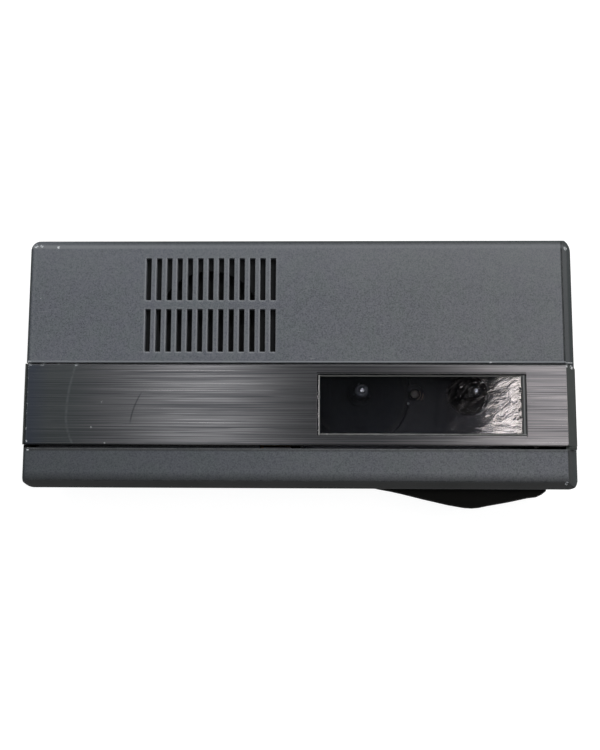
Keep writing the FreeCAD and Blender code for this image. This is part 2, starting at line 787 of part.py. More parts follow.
def deck_moulding():
    x0 = bay_left - bay_wall
    x1 = bay_right + bay_wall
    low = bay_floor_z - bay_floor
    body = box(x0, x1, bay_low_y, bay_high_y, low, bay_floor_z)
    wall_top = bay_floor_z + bay_pad + cassette_thickness - 0.6
    walls = [box(x0, bay_left, bay_low_y, bay_high_y, low, wall_top),
             box(bay_right, x1, bay_low_y, bay_high_y, low, wall_top)]
    pads = []
    for x in (bay_left + 2, bay_right - 4):
        for y in (bay_low_y + 1, bay_high_y - 3):
            pads.append(box(x, x + 2, y, y + 2, bay_floor_z - 0.1, bay_floor_z + bay_pad))
    feet = []
    for x in (x0 + 0.5, x1 - 2.5):
        for y in (bay_low_y + 5.6, bay_high_y - 6):
            feet.append(box(x, x + 2, y, y + 2, deck_z, low + 0.1))
    body = joined(body, *(walls + pads + feet))
    wells = [
        prism(take_up_x, hub_y, 0, 30, tyre_radius + take_up_well_gap, 48),
        prism(supply_x, hub_y, 0, 30, supply_radius + supply_well_gap, 36),
        prism(hub_mid_x, hub_y, 0, 30, idler_recess, 32),
        prism(capstan_x, capstan_y, 0, 30, bearing_radius + 0.2, 20),
    ]
    return without(body, *wells)


def spindle_pin(x):
    r = spindle_pin_radius
    tip = spindle_tip_z
    return faceted([(0, deck_z), (r, deck_z), (r, tip - 0.25), (r - 0.25, tip), (0, tip)], x, hub_y, 24)


def reel(x, radius, disc_low, sides):
    """Reel table with its sleeve and three fins, turning on the spindle pin."""
    bore = spindle_pin_radius + running_fit
    top = disc_low + reel_disc_thickness
    sleeve = spindle_sleeve_radius
    tip = spindle_tip_z - 0.5
    disc = prism(x, hub_y, disc_low, top, radius, sides)
    step = prism(x, hub_y, top, top + 0.5, 2.9, 24)
    post = faceted([(0, top), (sleeve, top), (sleeve, tip - 0.3), (sleeve - 0.3, tip), (0, tip)], x, hub_y, 24)
    fins = []
    for index in range(3):
        fin = rail([(sleeve - 0.3, top + 0.4), (spindle_fin_reach, top + 0.4), (spindle_fin_reach, tip - 3.2),
                    (sleeve - 0.3, tip - 1.8)], -spindle_fin_thickness / 2, spindle_fin_thickness / 2)
        fin.translate(Vector(x, hub_y, 0))
        fin.rotate(Vector(x, hub_y, 0), Vector(0, 0, 1), 120 * index + 90)
        fins.append(fin)
    body = disc.fuse([step, post] + fins)
    return without(body, drum(x, hub_y, disc_low - 1, tip + 1, bore))


def reel_low_z():
    return deck_z + 0.2


def take_up_tyre():
    low = reel_low_z() + 0.1
    high = low + reel_disc_thickness - 0.2
    body = prism(take_up_x, hub_y, low, high, tyre_radius, 48)
    return body.cut(prism(take_up_x, hub_y, low - 1, high + 1, take_up_radius, 48))


def idler_wheel():
    """Roller on top of the deck and belt pulley below it, on one shaft."""
    belt_z = flywheel_top_z + 0.1
    r = idler_pulley_radius
    roller = idler_roller_radius
    shaft = idler_shaft_radius
    low = deck_z + 0.15
    section = [(0, belt_z), (r, belt_z), (r, belt_z + 0.3), (r - belt_seat, belt_z + 0.3),
               (r - belt_seat, belt_z + 0.8 + belt_thickness), (shaft, belt_z + 0.8 + belt_thickness), (shaft, low),
               (roller, low), (roller, low + 1.95), (0, low + 1.95)]
    return faceted(section, hub_mid_x, hub_y, 24)


def idler_cap():
    low = deck_z + 0.15 + 1.95
    return faceted([(0, low), (0.9, low), (0.9, low + 0.35), (0.6, low + 0.6), (0, low + 0.6)], hub_mid_x, hub_y, 24)


def capstan():
    tip = capstan_top_z
    r = capstan_radius
    return faceted([(0, flywheel_z - 0.5), (r, flywheel_z - 0.5), (r, tip - 0.3), (r - 0.3, tip), (0, tip)],
                   capstan_x, capstan_y, 20)


def flywheel():
    """Plain rim for the drive belt, recessed web and a pulley for the second belt."""
    low = flywheel_z
    top = flywheel_top_z
    r = flywheel_radius
    hub = hub_pulley_radius
    rim = prism(capstan_x, capstan_y, low, top, r, 30)
    web = prism(capstan_x, capstan_y, top - 0.8, top + 1, r - 2.5, 30)
    collar = prism(capstan_x, capstan_y, low + 1, top + 0.4, hub, 24)
    seat = prism(capstan_x, capstan_y, low + 1, top + 0.9 + belt_thickness, hub - belt_seat, 24)
    bore = prism(capstan_x, capstan_y, low - 1, top + 10, capstan_radius, 20)
    return without(rim.cut(web).fuse([collar, seat]), bore)


def capstan_bearing():
    low = flywheel_top_z + 0.9 + belt_thickness + 0.2
    top = bay_floor_z + 0.9
    body = faceted([(0, low), (bearing_radius + 1, low), (bearing_radius + 1, deck_low_z),
                    (bearing_radius, deck_low_z), (bearing_radius, bay_floor_z - 0.2), (1.4, bay_floor_z - 0.2),
                    (1.4, top), (0, top)], capstan_x, capstan_y, 20)
    return without(body, prism(capstan_x, capstan_y, low - 1, top + 1, capstan_radius + 2 * running_fit, 20))


def flywheel_bracket():
    reach = flywheel_radius + 1.1
    z0 = flywheel_z - 1.4
    z1 = z0 + 0.7
    low_y = capstan_y - reach
    high_y = capstan_y + reach
    body = box(capstan_x - 3, capstan_x + 3, low_y - 0.8, high_y + 0.8, z0, z1)
    legs = [box(capstan_x - 2, capstan_x + 2, low_y - 0.8, low_y, z0 + 0.1, deck_low_z),
            box(capstan_x - 2, capstan_x + 2, high_y, high_y + 0.8, z0 + 0.1, deck_low_z)]
    cup = prism(capstan_x, capstan_y, z1 - 0.05, flywheel_z - 0.5, 1.2, 12)
    return joined(body, cup, *legs)


def motor():
    top = deck_low_z
    low = motor_low_z
    section = [(0, low), (motor_radius - 0.6, low), (motor_radius, low + 0.6), (motor_radius, top), (0, top)]
    body = faceted(section, motor_x, motor_y, 32)
    return without(body, prism(motor_x, motor_y, low - 1, low + 2.5, motor_shaft_radius + 2 * running_fit, 12))


def motor_pulley():
    high = motor_low_z + 1.6
    low = flywheel_z
    r = motor_pulley_radius
    shaft = motor_shaft_radius
    section = [(0, low), (r, low), (r, low + 0.3), (r - belt_seat, low + 0.3),
               (r - belt_seat, low + 0.8 + belt_thickness), (shaft, low + 0.8 + belt_thickness), (shaft, high),
               (0, high)]
    return faceted(section, motor_x, motor_y, 20)


def belt(ax, ay, ar, bx, by, br, z0):
    """Flat belt just clear of the two rims that it runs on."""
    inner = loop(ax, ay, ar + belt_fit, bx, by, br + belt_fit, z0 - 1, z0 + belt_thickness + 1)
    outer = loop(ax, ay, ar + belt_fit + belt_width, bx, by, br + belt_fit + belt_width, z0, z0 + belt_thickness)
    return outer.cut(inner)


def head_carriage():
    low = carriage_low_y
    high = half_width - shell - 0.9
    right = cam_pin_x + cam_pin_radius + 0.9
    points = [(capstan_x - 3.2, low), (hub_mid_x - 6, low), (hub_mid_x - 6, low - 0.2),
              (hub_mid_x + 6, low - 0.2), (hub_mid_x + 6, low), (cam_pin_x - 2.4, low),
              (cam_pin_x - 2.4, cam_pin_y - 1.1), (right, cam_pin_y - 1.1), (right, cam_pin_y + 1.4),
              (cam_pin_x - 4.5, high - 1.5), (cam_pin_x - 6.0, high), (capstan_x - 3.2, high)]
    body = plate(points, carriage_z, carriage_top_z)
    guide_low = low + 0.28 * (high - low)
    guide_high = low + 0.71 * (high - low)
    guides = [box(hub_mid_x - 12, hub_mid_x - 9, guide_low, guide_high, 0, 30),
              box(hub_mid_x + 9, hub_mid_x + 12, guide_low, guide_high, 0, 30)]
    body = body.cut(guides)
    arm_low = bay_floor_z + 0.25
    arm = box(capstan_x - 2.2, capstan_x + 2.2, pinch_rest_y - 1.6, low + 3, arm_low, arm_low + 0.6)
    foot = box(capstan_x - 2.2, capstan_x + 2.2, low + 0.5, low + 3, carriage_z + 0.1, arm_low + 0.1)
    pin = prism(capstan_x, pinch_rest_y, arm_low + 0.1, arm_low + 1.2 + pinch_height, pinch_pin_radius, 16)
    cap = prism(capstan_x, pinch_rest_y, arm_low + 0.9 + pinch_height, arm_low + 1.4 + pinch_height, 1.1, 16)
    cam_pin = prism(cam_pin_x, cam_pin_y, link_z, carriage_z + 0.1, cam_pin_radius, 16)
    return joined(body, foot, arm, pin, cap, cam_pin)


def pinch_roller():
    low = bay_floor_z + 0.25 + 0.75
    body = prism(capstan_x, pinch_rest_y, low, low + pinch_height, pinch_radius, 32)
    bore = prism(capstan_x, pinch_rest_y, low - 1, low + pinch_height + 1, pinch_pin_radius + 1.5 * running_fit, 16)
    return body.cut(bore)


def head_block(x, width, front, depth, height):
    """Head with a crowned face towards the tape, standing on the carriage."""
    z0 = carriage_top_z
    back = front + depth
    crown = front - 0.9
    left = Vector(x - width / 2, front, z0)
    right = Vector(x + width / 2, front, z0)
    edges = [
        Part.Arc(left, Vector(x, crown, z0), right).toShape(),
        Part.LineSegment(right, Vector(x + width / 2, back, z0)).toShape(),
        Part.LineSegment(Vector(x + width / 2, back, z0), Vector(x - width / 2, back, z0)).toShape(),
        Part.LineSegment(Vector(x - width / 2, back, z0), left).toShape(),
    ]
    body = Part.Face(Part.Wire(Part.__sortEdges__(edges))).extrude(Vector(0, 0, height))
    overhang = box(x - width, x + width, front - 2, carriage_low_y - 0.2, z0 - 1, bay_floor_z + 0.25)
    return body.cut(overhang).removeSplitter()


def slide_outline():
    """Outer edge of the thumb slide: a hollow ramp, a round peak and a shorter fall to a rounded end."""
    foot = -half_width - slide_wall_gap
    rise = slide_peak - slide_wall_gap
    ramp = slide_peak_x - slide_left_x
    fall = slide_right_x - slide_peak_x
    left = [(0, 0.03), (0.146, 0.156), (0.27, 0.29), (0.5, 0.565), (0.75, 0.84), (0.92, 0.98), (1, 1)]
    right = [(0.09, 0.97), (0.2, 0.88), (0.5, 0.67), (0.75, 0.46), (0.86, 0.41), (0.94, 0.27), (1, 0.09)]
    points = [(slide_left_x + ramp * t, foot - rise * h) for t, h in left]
    return points + [(slide_peak_x + fall * t, foot - rise * h) for t, h in right]


def thumb_slide():
    face = -half_width - slide_wall_gap
    z0 = slide_z - slide_height / 2
    z1 = slide_z + slide_height / 2
    outline = slide_outline()
    body = plate([(slide_right_x, face), (slide_left_x, face)] + outline, z0, z1)
    rims = edges_near(body, lambda b: b.ZLength < 0.01 and b.YMax < face - 0.3)
    body = body.makeChamfer(0.35, rims)
    grips = []
    for index in range(7):
        x = slide_peak_x - slide_grip_step * (index + 1)
        for (xa, ya), (xb, yb) in zip(outline, outline[1:]):
            if xa <= x < xb:
                y = ya + (yb - ya) * (x - xa) / (xb - xa)
        grips.append(box(x, x + slide_grip_width, y - 1.2, y + slide_grip_depth, z0 - 1, z1 - 1.2))
    body = body.cut(grips)
    stem_low = (slide_left_x + slide_right_x - slide_stem_length) / 2
    inner = -half_width + shell
    stem = box(stem_low, stem_low + slide_stem_length, face - 0.1, inner + 0.2, slide_z - slide_stem_height / 2,
               slide_z + slide_stem_height / 2)
    return joined(body, stem)


def slide_link():
    """Flat bar inside the case, from the thumb slide to the cam slot that drives the head carriage."""
    stem_low = (slide_left_x + slide_right_x - slide_stem_length) / 2
    inner = -half_width + shell + 0.2
    top = link_z + link_thickness
    arm_x = cam_pin_x - 3.6
    rise = carriage_travel / slide_travel
    slot = cam_pin_radius + cam_fit
    points = [(stem_low, inner), (stem_low + slide_stem_length, inner), (arm_x - 0.4, inner + 1.0),
              (arm_x + 1.0, inner + 4.3), (arm_x + 3, inner + 4.3),
              (arm_x + 3, cam_pin_y - carriage_travel - 2.6), (cam_pin_x + 2.0, cam_pin_y - 2.2),
              (cam_pin_x + 2.0, cam_pin_y + 1.8), (cam_pin_x - 1.2, cam_pin_y + 1.8),
              (cam_pin_x - slide_travel - 1.7, cam_pin_y - carriage_travel + 0.6),
              (cam_pin_x - slide_travel - 1.7, cam_pin_y - carriage_travel - 1.8),
              (arm_x, cam_pin_y - carriage_travel - 3.4), (arm_x, inner + 5.4),
              (arm_x - 1.6, inner + 3.4), (stem_low, inner + 3.4)]
    body = plate(points, link_z, top)
    tab = box(stem_low, stem_low + slide_stem_length, inner, inner + 0.8, link_z + 0.1,
              slide_z + slide_stem_height / 2 + 1.0)
    body = joined(body, tab)
    start = Vector(cam_pin_x, cam_pin_y, 0)
    step = Vector(-slide_travel, -carriage_travel, 0)
    side = Vector(rise, -1, 0).normalize() * slot
    corners = [start + side, start + step + side, start + step - side, start - side]
    groove = plate([(c.x, c.y) for c in corners], link_z - 1, top + 1)
    ends = [prism(start.x, start.y, link_z - 1, top + 1, slot, 24),
            prism(start.x + step.x, start.y + step.y, link_z - 1, top + 1, slot, 24)]
    return without(body, groove, *ends)


def cell_y(side):
    return side * (cell_diameter / 2 + 0.4)


def battery_spring(side, right):
    """Bowed leaf that presses on the flat end of a cell."""
    x = cell_box_right - contact_thickness if right else cell_box_x + contact_thickness
    bulge = cell_spring_room - 2 * contact_thickness - 0.6
    low = lid_thickness + 3.0
    return bowed_leaf(x, -bulge if right else bulge, cell_y(side) - 2.2, cell_y(side) + 2.2, low,
                      cell_roof_z - 1.6, contact_thickness)


def battery_plate(right):
    """Plate behind the cell ends: one for both cells at the right, one for each at the left."""
    x = cell_box_right - contact_thickness if right else cell_box_x
    low = lid_thickness + 2.4
    high = cell_roof_z - 0.4
    reach = cell_box_half - 1.2
    return box(x, x + contact_thickness, -reach, reach, low, high)


def jack(y):
    axis = Vector(1, 0, 0)
    x1 = half_length - shell - 0.2
    x0 = x1 - jack_length + 0.9
    half = jack_side / 2
    body = box(x0, x1, y - half, y + half, jack_z - half, jack_z + half)
    nose = lying_prism(x1 - 0.1, half_length, y, jack_z, jack_nose_radius - 0.05, 32)
    bore = Part.makeCylinder(jack_bore_radius, jack_length, Vector(half_length - jack_length, y, jack_z), axis)
    foot = box(x0, x1, y - half, y + half, back_wall, jack_z - half + 0.1)
    return without(joined(body, nose, foot), bore)


def power_jack():
    y = power_jack_y
    x1 = half_length - shell - 0.2
    x0 = x1 - power_jack_length
    half = power_jack_side / 2
    body = box(x0, x1, y - half, y + half, back_wall, jack_z + half)
    nose = lying_prism(x1 - 0.1, half_length, y, jack_z, power_nose_radius - 0.05, 32)
    depth = power_jack_length - 0.5
    bore = lying_prism(half_length - depth, half_length + 1, y, jack_z, power_bore_radius, 24)
    pin = lying_prism(half_length - depth - 0.1, half_length - 0.9, y, jack_z, power_pin_radius, 12)
    return joined(without(joined(body, nose), bore), pin)


def case_screw(sx, sy):
    x = sx * boss_x
    y = sy * boss_y
    head = prism(x, y, 0.3, 1.6, case_screw_head, 24)
    shank = prism(x, y, 1.5, case_screw_length, case_screw_radius, 10)
    cross = box(x - 1.3, x + 1.3, y - 0.25, y + 0.25, 0, 0.9)
    cross = cross.fuse(box(x - 0.25, x + 0.25, y - 1.3, y + 1.3, 0, 0.9))
    return without(joined(head, shank), cross)


def build():
    pieces = {
        "front_cover": front_cover(),
        "rear_cover": rear_cover(),
        "battery_door": battery_door(),
        "door_frame": door_frame(),
        "door_plate": door_plate(),
        "door_window": door_window(),
        "door_pin_left": door_pin(pin_starts()[0]),
        "door_pin_right": door_pin(pin_starts()[1]),
        "door_catch": door_catch(),
        "inner_panel": inner_panel(),
        "grille_backing": grille_backing(),
        "speaker_gauze": speaker_gauze(),
        "speaker_basket": speaker_basket(),
        "speaker_cone": speaker_cone(),
        "speaker_magnet": speaker_magnet(),
        "main_board": main_board(),
        "amplifier_chip": amplifier_chip(),
        "capacitor": capacitor(),
        "bias_coil": bias_coil(),
        "volume_pot": volume_pot(),
        "volume_wheel": volume_wheel(),
        "microphone_capsule": microphone_capsule(),
        "record_switch": record_switch(),
        "record_button": record_button(),
        "deck_plate": deck_plate(),
        "deck_moulding": deck_moulding(),
        "take_up_pin": spindle_pin(take_up_x),
        "supply_pin": spindle_pin(supply_x),
        "take_up_reel": reel(take_up_x, take_up_radius, reel_low_z(), 48),
        "take_up_tyre": take_up_tyre(),
        "supply_reel": reel(supply_x, supply_radius, reel_low_z(), 36),
        "idler_wheel": idler_wheel(),
        "idler_cap": idler_cap(),
        "capstan": capstan(),
        "flywheel": flywheel(),
        "capstan_bearing": capstan_bearing(),
        "flywheel_bracket": flywheel_bracket(),
        "motor": motor(),
        "motor_pulley": motor_pulley(),
        "drive_belt": belt(capstan_x, capstan_y, flywheel_radius, motor_x, motor_y,
                           motor_pulley_radius - belt_seat, flywheel_z + 0.5),
        "idler_belt": belt(hub_mid_x, hub_y, idler_pulley_radius - belt_seat, capstan_x, capstan_y,
                           hub_pulley_radius - belt_seat, flywheel_top_z + 0.5),
        "head_carriage": head_carriage(),
        "record_head": head_block(hub_mid_x, head_width, carriage_low_y - 2.0, head_depth, head_height),
        "erase_head": head_block(hub_mid_x + erase_shift, erase_width, carriage_low_y - 1.4, 3.6, head_height - 0.6),
        "pinch_roller": pinch_roller(),
        "thumb_slide": thumb_slide(),
        "slide_link": slide_link(),
        "battery_spring_left": battery_spring(-1, False),
        "battery_spring_right": battery_spring(1, True),
        "battery_plate_positive": battery_plate(False).common(box(-case_length, 0, 1.2, case_width, 0, case_depth)),
        "battery_plate_negative": battery_plate(False).common(box(-case_length, 0, -case_width, -1.2, 0, case_depth)),
        "battery_bridge": battery_plate(True),
        "earphone_jack": jack(ear_jack_y),
        "microphone_jack": jack(mic_jack_y),
        "power_jack": power_jack(),
        "case_screw_1": case_screw(-1, -1),
        "case_screw_2": case_screw(1, -1),
        "case_screw_3": case_screw(-1, 1),
        "case_screw_4": case_screw(1, 1),
    }
    return pieces


os.makedirs("parts", exist_ok=True)
for name, shape in build().items():
    solids = shape.Solids
    if not shape.isValid() or len(solids) != 1:
        print("check", name, "valid", shape.isValid(), "solids", len(solids))
    result = solids[0] if len(solids) == 1 else shape
    result.exportStep(os.path.join("parts", name + ".step"))
print("pieces", len(os.listdir("parts")))
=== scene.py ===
import bpy
import bmesh
import math
from mathutils import Matrix, Vector


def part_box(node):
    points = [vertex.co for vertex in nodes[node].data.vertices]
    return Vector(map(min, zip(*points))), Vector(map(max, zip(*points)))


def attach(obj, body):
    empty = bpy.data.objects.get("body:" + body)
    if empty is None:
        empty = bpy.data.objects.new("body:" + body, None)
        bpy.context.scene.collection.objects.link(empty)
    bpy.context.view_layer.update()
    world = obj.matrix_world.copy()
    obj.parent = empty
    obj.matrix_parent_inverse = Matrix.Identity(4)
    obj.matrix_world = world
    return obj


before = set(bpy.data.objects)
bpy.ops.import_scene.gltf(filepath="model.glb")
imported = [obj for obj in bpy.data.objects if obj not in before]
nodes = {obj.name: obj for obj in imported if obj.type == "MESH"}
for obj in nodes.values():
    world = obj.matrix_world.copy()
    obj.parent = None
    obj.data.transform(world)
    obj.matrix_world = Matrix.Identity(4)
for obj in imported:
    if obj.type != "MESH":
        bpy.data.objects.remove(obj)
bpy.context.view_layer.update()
scene = bpy.context.scene

# Lengths below are in millimetres, in the frame of the part; Blender's unit is the metre.
MM = 0.001

# upright axes in the bay and under it: X, Y
TAKE_UP_AXIS = (13.85, -6.05)
SUPPLY_AXIS = (39.35, -6.05)
ROLLER_AXIS = (26.6, -6.05)
FLYWHEEL_AXIS = (10.5, 11.5)

# heights: the bay's floor, the seat of the centre roller and the face of the take-up reel in it,
# the middles of the sockets and of the record button
BAY_FLOOR_Z = 14.0
ROLLER_SEAT_Z = 13.88
REEL_FACE_Z = 13.8
SOCKET_Z = 5.6
BUTTON_Z = 20.2

# shading along the case starts or ends here, just short of its ends at -X and +X
END_X = 61

# outer edge of the window's ground rim, and the width of its four sides
RIM_X = (4.13, 49.60)
RIM_Y = (-16.10, -2.88)
RIM_LEFT, RIM_RIGHT, RIM_LOW, RIM_HIGH = 0.38, 1.02, 0.34, 0.36

# pale chips in the paint of the cover: X, Y and size
CHIPS = [(-59.9, 26.5, 0.55), (-58.6, 26.5, 0.40), (-54.75, 26.25, 0.42), (-60.4, -0.1, 0.50),
         (-57.3, -0.1, 0.35), (59.8, -0.1, 0.45), (59.7, 26.1, 0.55), (42.2, -0.1, 0.35), (58.2, -26.4, 0.45),
         (-60.0, -19.35, 0.42), (-58.3, 14.4, 0.24)]

# bright nicks along the hinge edge, on the door's frame and its plate alike
HINGE_NICKS = [(-60.25, -0.60, 0.62), (-57.4, -0.40, 0.62), (-49.8, -0.42, 0.62), (-53.8, -0.45, 0.28),
               (60.4, -0.8, 0.55), (58.9, -0.7, 0.40)]
# and those on the plate alone
PLATE_NICKS = [(-43.76, -8.95, 0.28), (-46.03, -14.5, 0.24), (-42.9, -18.0, 0.22), (-60.3, -17.6, 0.3)]

CHIP_COLOR = (0.74, 0.76, 0.78)
NICK_COLOR = (0.72, 0.73, 0.75)


# ---------------------------------------------------------------- node trees

class Tree:
    """Adds nodes to a node tree; a value is a number, a colour or the output of another node."""

    def __init__(self, tree):
        self.tree = tree

    def node(self, kind, **settings):
        made = self.tree.nodes.new(kind)
        for key, value in settings.items():
            setattr(made, key, value)
        return made

    def put(self, socket, value):
        if isinstance(value, bpy.types.NodeSocket):
            self.tree.links.new(value, socket)
        else:
            socket.default_value = value

    def math(self, operation, a, b=0.0):
        made = self.node("ShaderNodeMath", operation=operation)
        self.put(made.inputs[0], a)
        self.put(made.inputs[1], b)
        return made.outputs[0]

    def fold(self, operation, first, *others):
        for other in others:
            first = self.math(operation, first, other)
        return first

    def times(self, *values):
        return self.fold("MULTIPLY", *values)

    def largest(self, *values):
        return self.fold("MAXIMUM", *values)

    def span(self, value, low, high, to_low=0.0, to_high=1.0, curve="LINEAR"):
        """Goes from to_low to to_high while the value goes from low to high, and stays there."""
        made = self.node("ShaderNodeMapRange", clamp=True, interpolation_type=curve)
        self.put(made.inputs["Value"], value)
        made.inputs["From Min"].default_value = low
        made.inputs["From Max"].default_value = high
        made.inputs["To Min"].default_value = to_low
        made.inputs["To Max"].default_value = to_high
        return made.outputs["Result"]

    def line(self, value, at, inner, outer, peak=1.0):
        """The peak within the inner distance of a place, 0 beyond the outer one."""
        return self.span(self.math("ABSOLUTE", self.math("SUBTRACT", value, at)), inner, outer, peak, 0.0)

    def split(self, vector):
        made = self.node("ShaderNodeSeparateXYZ")
        self.put(made.inputs[0], vector)
        return made.outputs

    def shader(self, kind, **inputs):
        made = self.node(kind)
        for key, value in inputs.items():
            self.put(made.inputs[key.replace("_", " ")], value)
        return made.outputs[0]

    def blend(self, factor, first, second):
        made = self.node("ShaderNodeMixShader")
        for index, value in enumerate((factor, first, second)):
            self.put(made.inputs[index], value)
        return made.outputs[0]

    def background_rays(self):
        """1 for the rays that show the background: seen directly, in gloss or through glass."""
        rays = self.node("ShaderNodeLightPath").outputs
        kinds = ("Is Camera Ray", "Is Glossy Ray", "Is Transmission Ray")
        return self.largest(*[rays[kind] for kind in kinds])


class Material(Tree):
    """One material: its base colour is painted in layers, and lengths are in millimetres."""

    def __init__(self, name):
        self.material = bpy.data.materials.new(name)
        self.material.use_nodes = True
        super().__init__(self.material.node_tree)
        self.bsdf = self.tree.nodes["Principled BSDF"]
        self.output = self.tree.nodes["Material Output"]
        self.place = self.node("ShaderNodeTexCoord").outputs["Object"]
        self.mm = self.stretch((1 / MM, 1 / MM, 1 / MM))
        self.x, self.y, self.z = self.split(self.mm)
        self.base = None

    def stretch(self, scale, rotation=(0, 0, 0), shift=(0, 0, 0)):
        """Coordinates with their own scale for each metre along X, Y and Z."""
        made = self.node("ShaderNodeMapping")
        self.put(made.inputs["Vector"], self.place)
        made.inputs["Scale"].default_value = scale
        made.inputs["Rotation"].default_value = rotation
        made.inputs["Location"].default_value = shift
        return made.outputs["Vector"]

    def noise(self, scale, detail=3.0, rough=0.5, vector=None, distortion=0.0):
        made = self.node("ShaderNodeTexNoise")
        self.put(made.inputs["Vector"], vector or self.mm)
        made.inputs["Scale"].default_value = scale
        made.inputs["Detail"].default_value = detail
        made.inputs["Roughness"].default_value = rough
        made.inputs["Distortion"].default_value = distortion
        return made.outputs["Fac"]

    def cells(self, scale):
        made = self.node("ShaderNodeTexVoronoi", feature="F1")
        self.put(made.inputs["Vector"], self.mm)
        made.inputs["Scale"].default_value = scale
        return made.outputs["Distance"]

    def distance(self, x, y):
        """Distance from an upright axis."""
        dx = self.math("SUBTRACT", self.x, x)
        dy = self.math("SUBTRACT", self.y, y)
        return self.math("SQRT", self.math("ADD", self.times(dx, dx), self.times(dy, dy)))

    def rings(self, radius, pitch, detail):
        """Turning rings: noise that changes with the radius alone."""
        along = self.node("ShaderNodeCombineXYZ")
        self.put(along.inputs[0], radius)
        return self.noise(pitch, detail, 0.7, along.outputs[0])

    def bump(self, height, strength, distance, normal=None):
        made = self.node("ShaderNodeBump")
        self.put(made.inputs["Height"], height)
        made.inputs["Strength"].default_value = strength
        made.inputs["Distance"].default_value = distance * MM
        if normal is not None:
            self.put(made.inputs["Normal"], normal)
        return made.outputs["Normal"]

    def soft(self, radius):
        """Normal that rounds the edges off."""
        made = self.node("ShaderNodeBevel", samples=4)
        made.inputs["Radius"].default_value = radius * MM
        return made.outputs["Normal"]

    def edges(self, radius):
        """1 along edges, 0 on the flats."""
        dot = self.node("ShaderNodeVectorMath", operation="DOT_PRODUCT")
        self.put(dot.inputs[0], self.soft(radius))
        self.put(dot.inputs[1], self.node("ShaderNodeNewGeometry").outputs["Normal"])
        return self.span(dot.outputs["Value"], 0.8, 0.98, 1.0, 0.0)

    def mix(self, factor, first, second, blend="MIX"):
        made = self.node("ShaderNodeMix", data_type="RGBA", blend_type=blend)
        self.put(made.inputs["Factor"], factor)
        for index, value in ((6, first), (7, second)):
            self.put(made.inputs[index], value if isinstance(value, bpy.types.NodeSocket) else (*value, 1))
        return made.outputs[2]

    def ground(self, factor, first, second):
        """First layer of the base colour, between two colours."""
        self.base = self.mix(factor, first, second)

    def paint(self, mask, color, blend="MIX"):
        """Next layer of the base colour, where the mask is above 0."""
        self.base = self.mix(mask, self.base, color, blend)

    def flecks(self, places, pitch, detail, rough, start, color):
        """Small round patches, broken up by noise that shows from its start value on."""
        broken = self.span(self.noise(pitch, detail, rough), start, start + 0.06)
        for x, y, size in places:
            spot = self.span(self.distance(x, y), size * 0.6, size, 1.0, 0.0)
            self.paint(self.times(spot, broken), color)

    def finish(self, rough, normal, **constants):
        self.put(self.bsdf.inputs["Base Color"], self.base)
        self.put(self.bsdf.inputs["Roughness"], rough)
        self.put(self.bsdf.inputs["Normal"], normal)
        for key, value in constants.items():
            self.bsdf.inputs[key.replace("_", " ")].default_value = value
        return self.material


def scaled(color, factor, offset=0.0):
    return tuple(min(1, factor * channel + offset) for channel in color)


# ---------------------------------------------------------------- materials

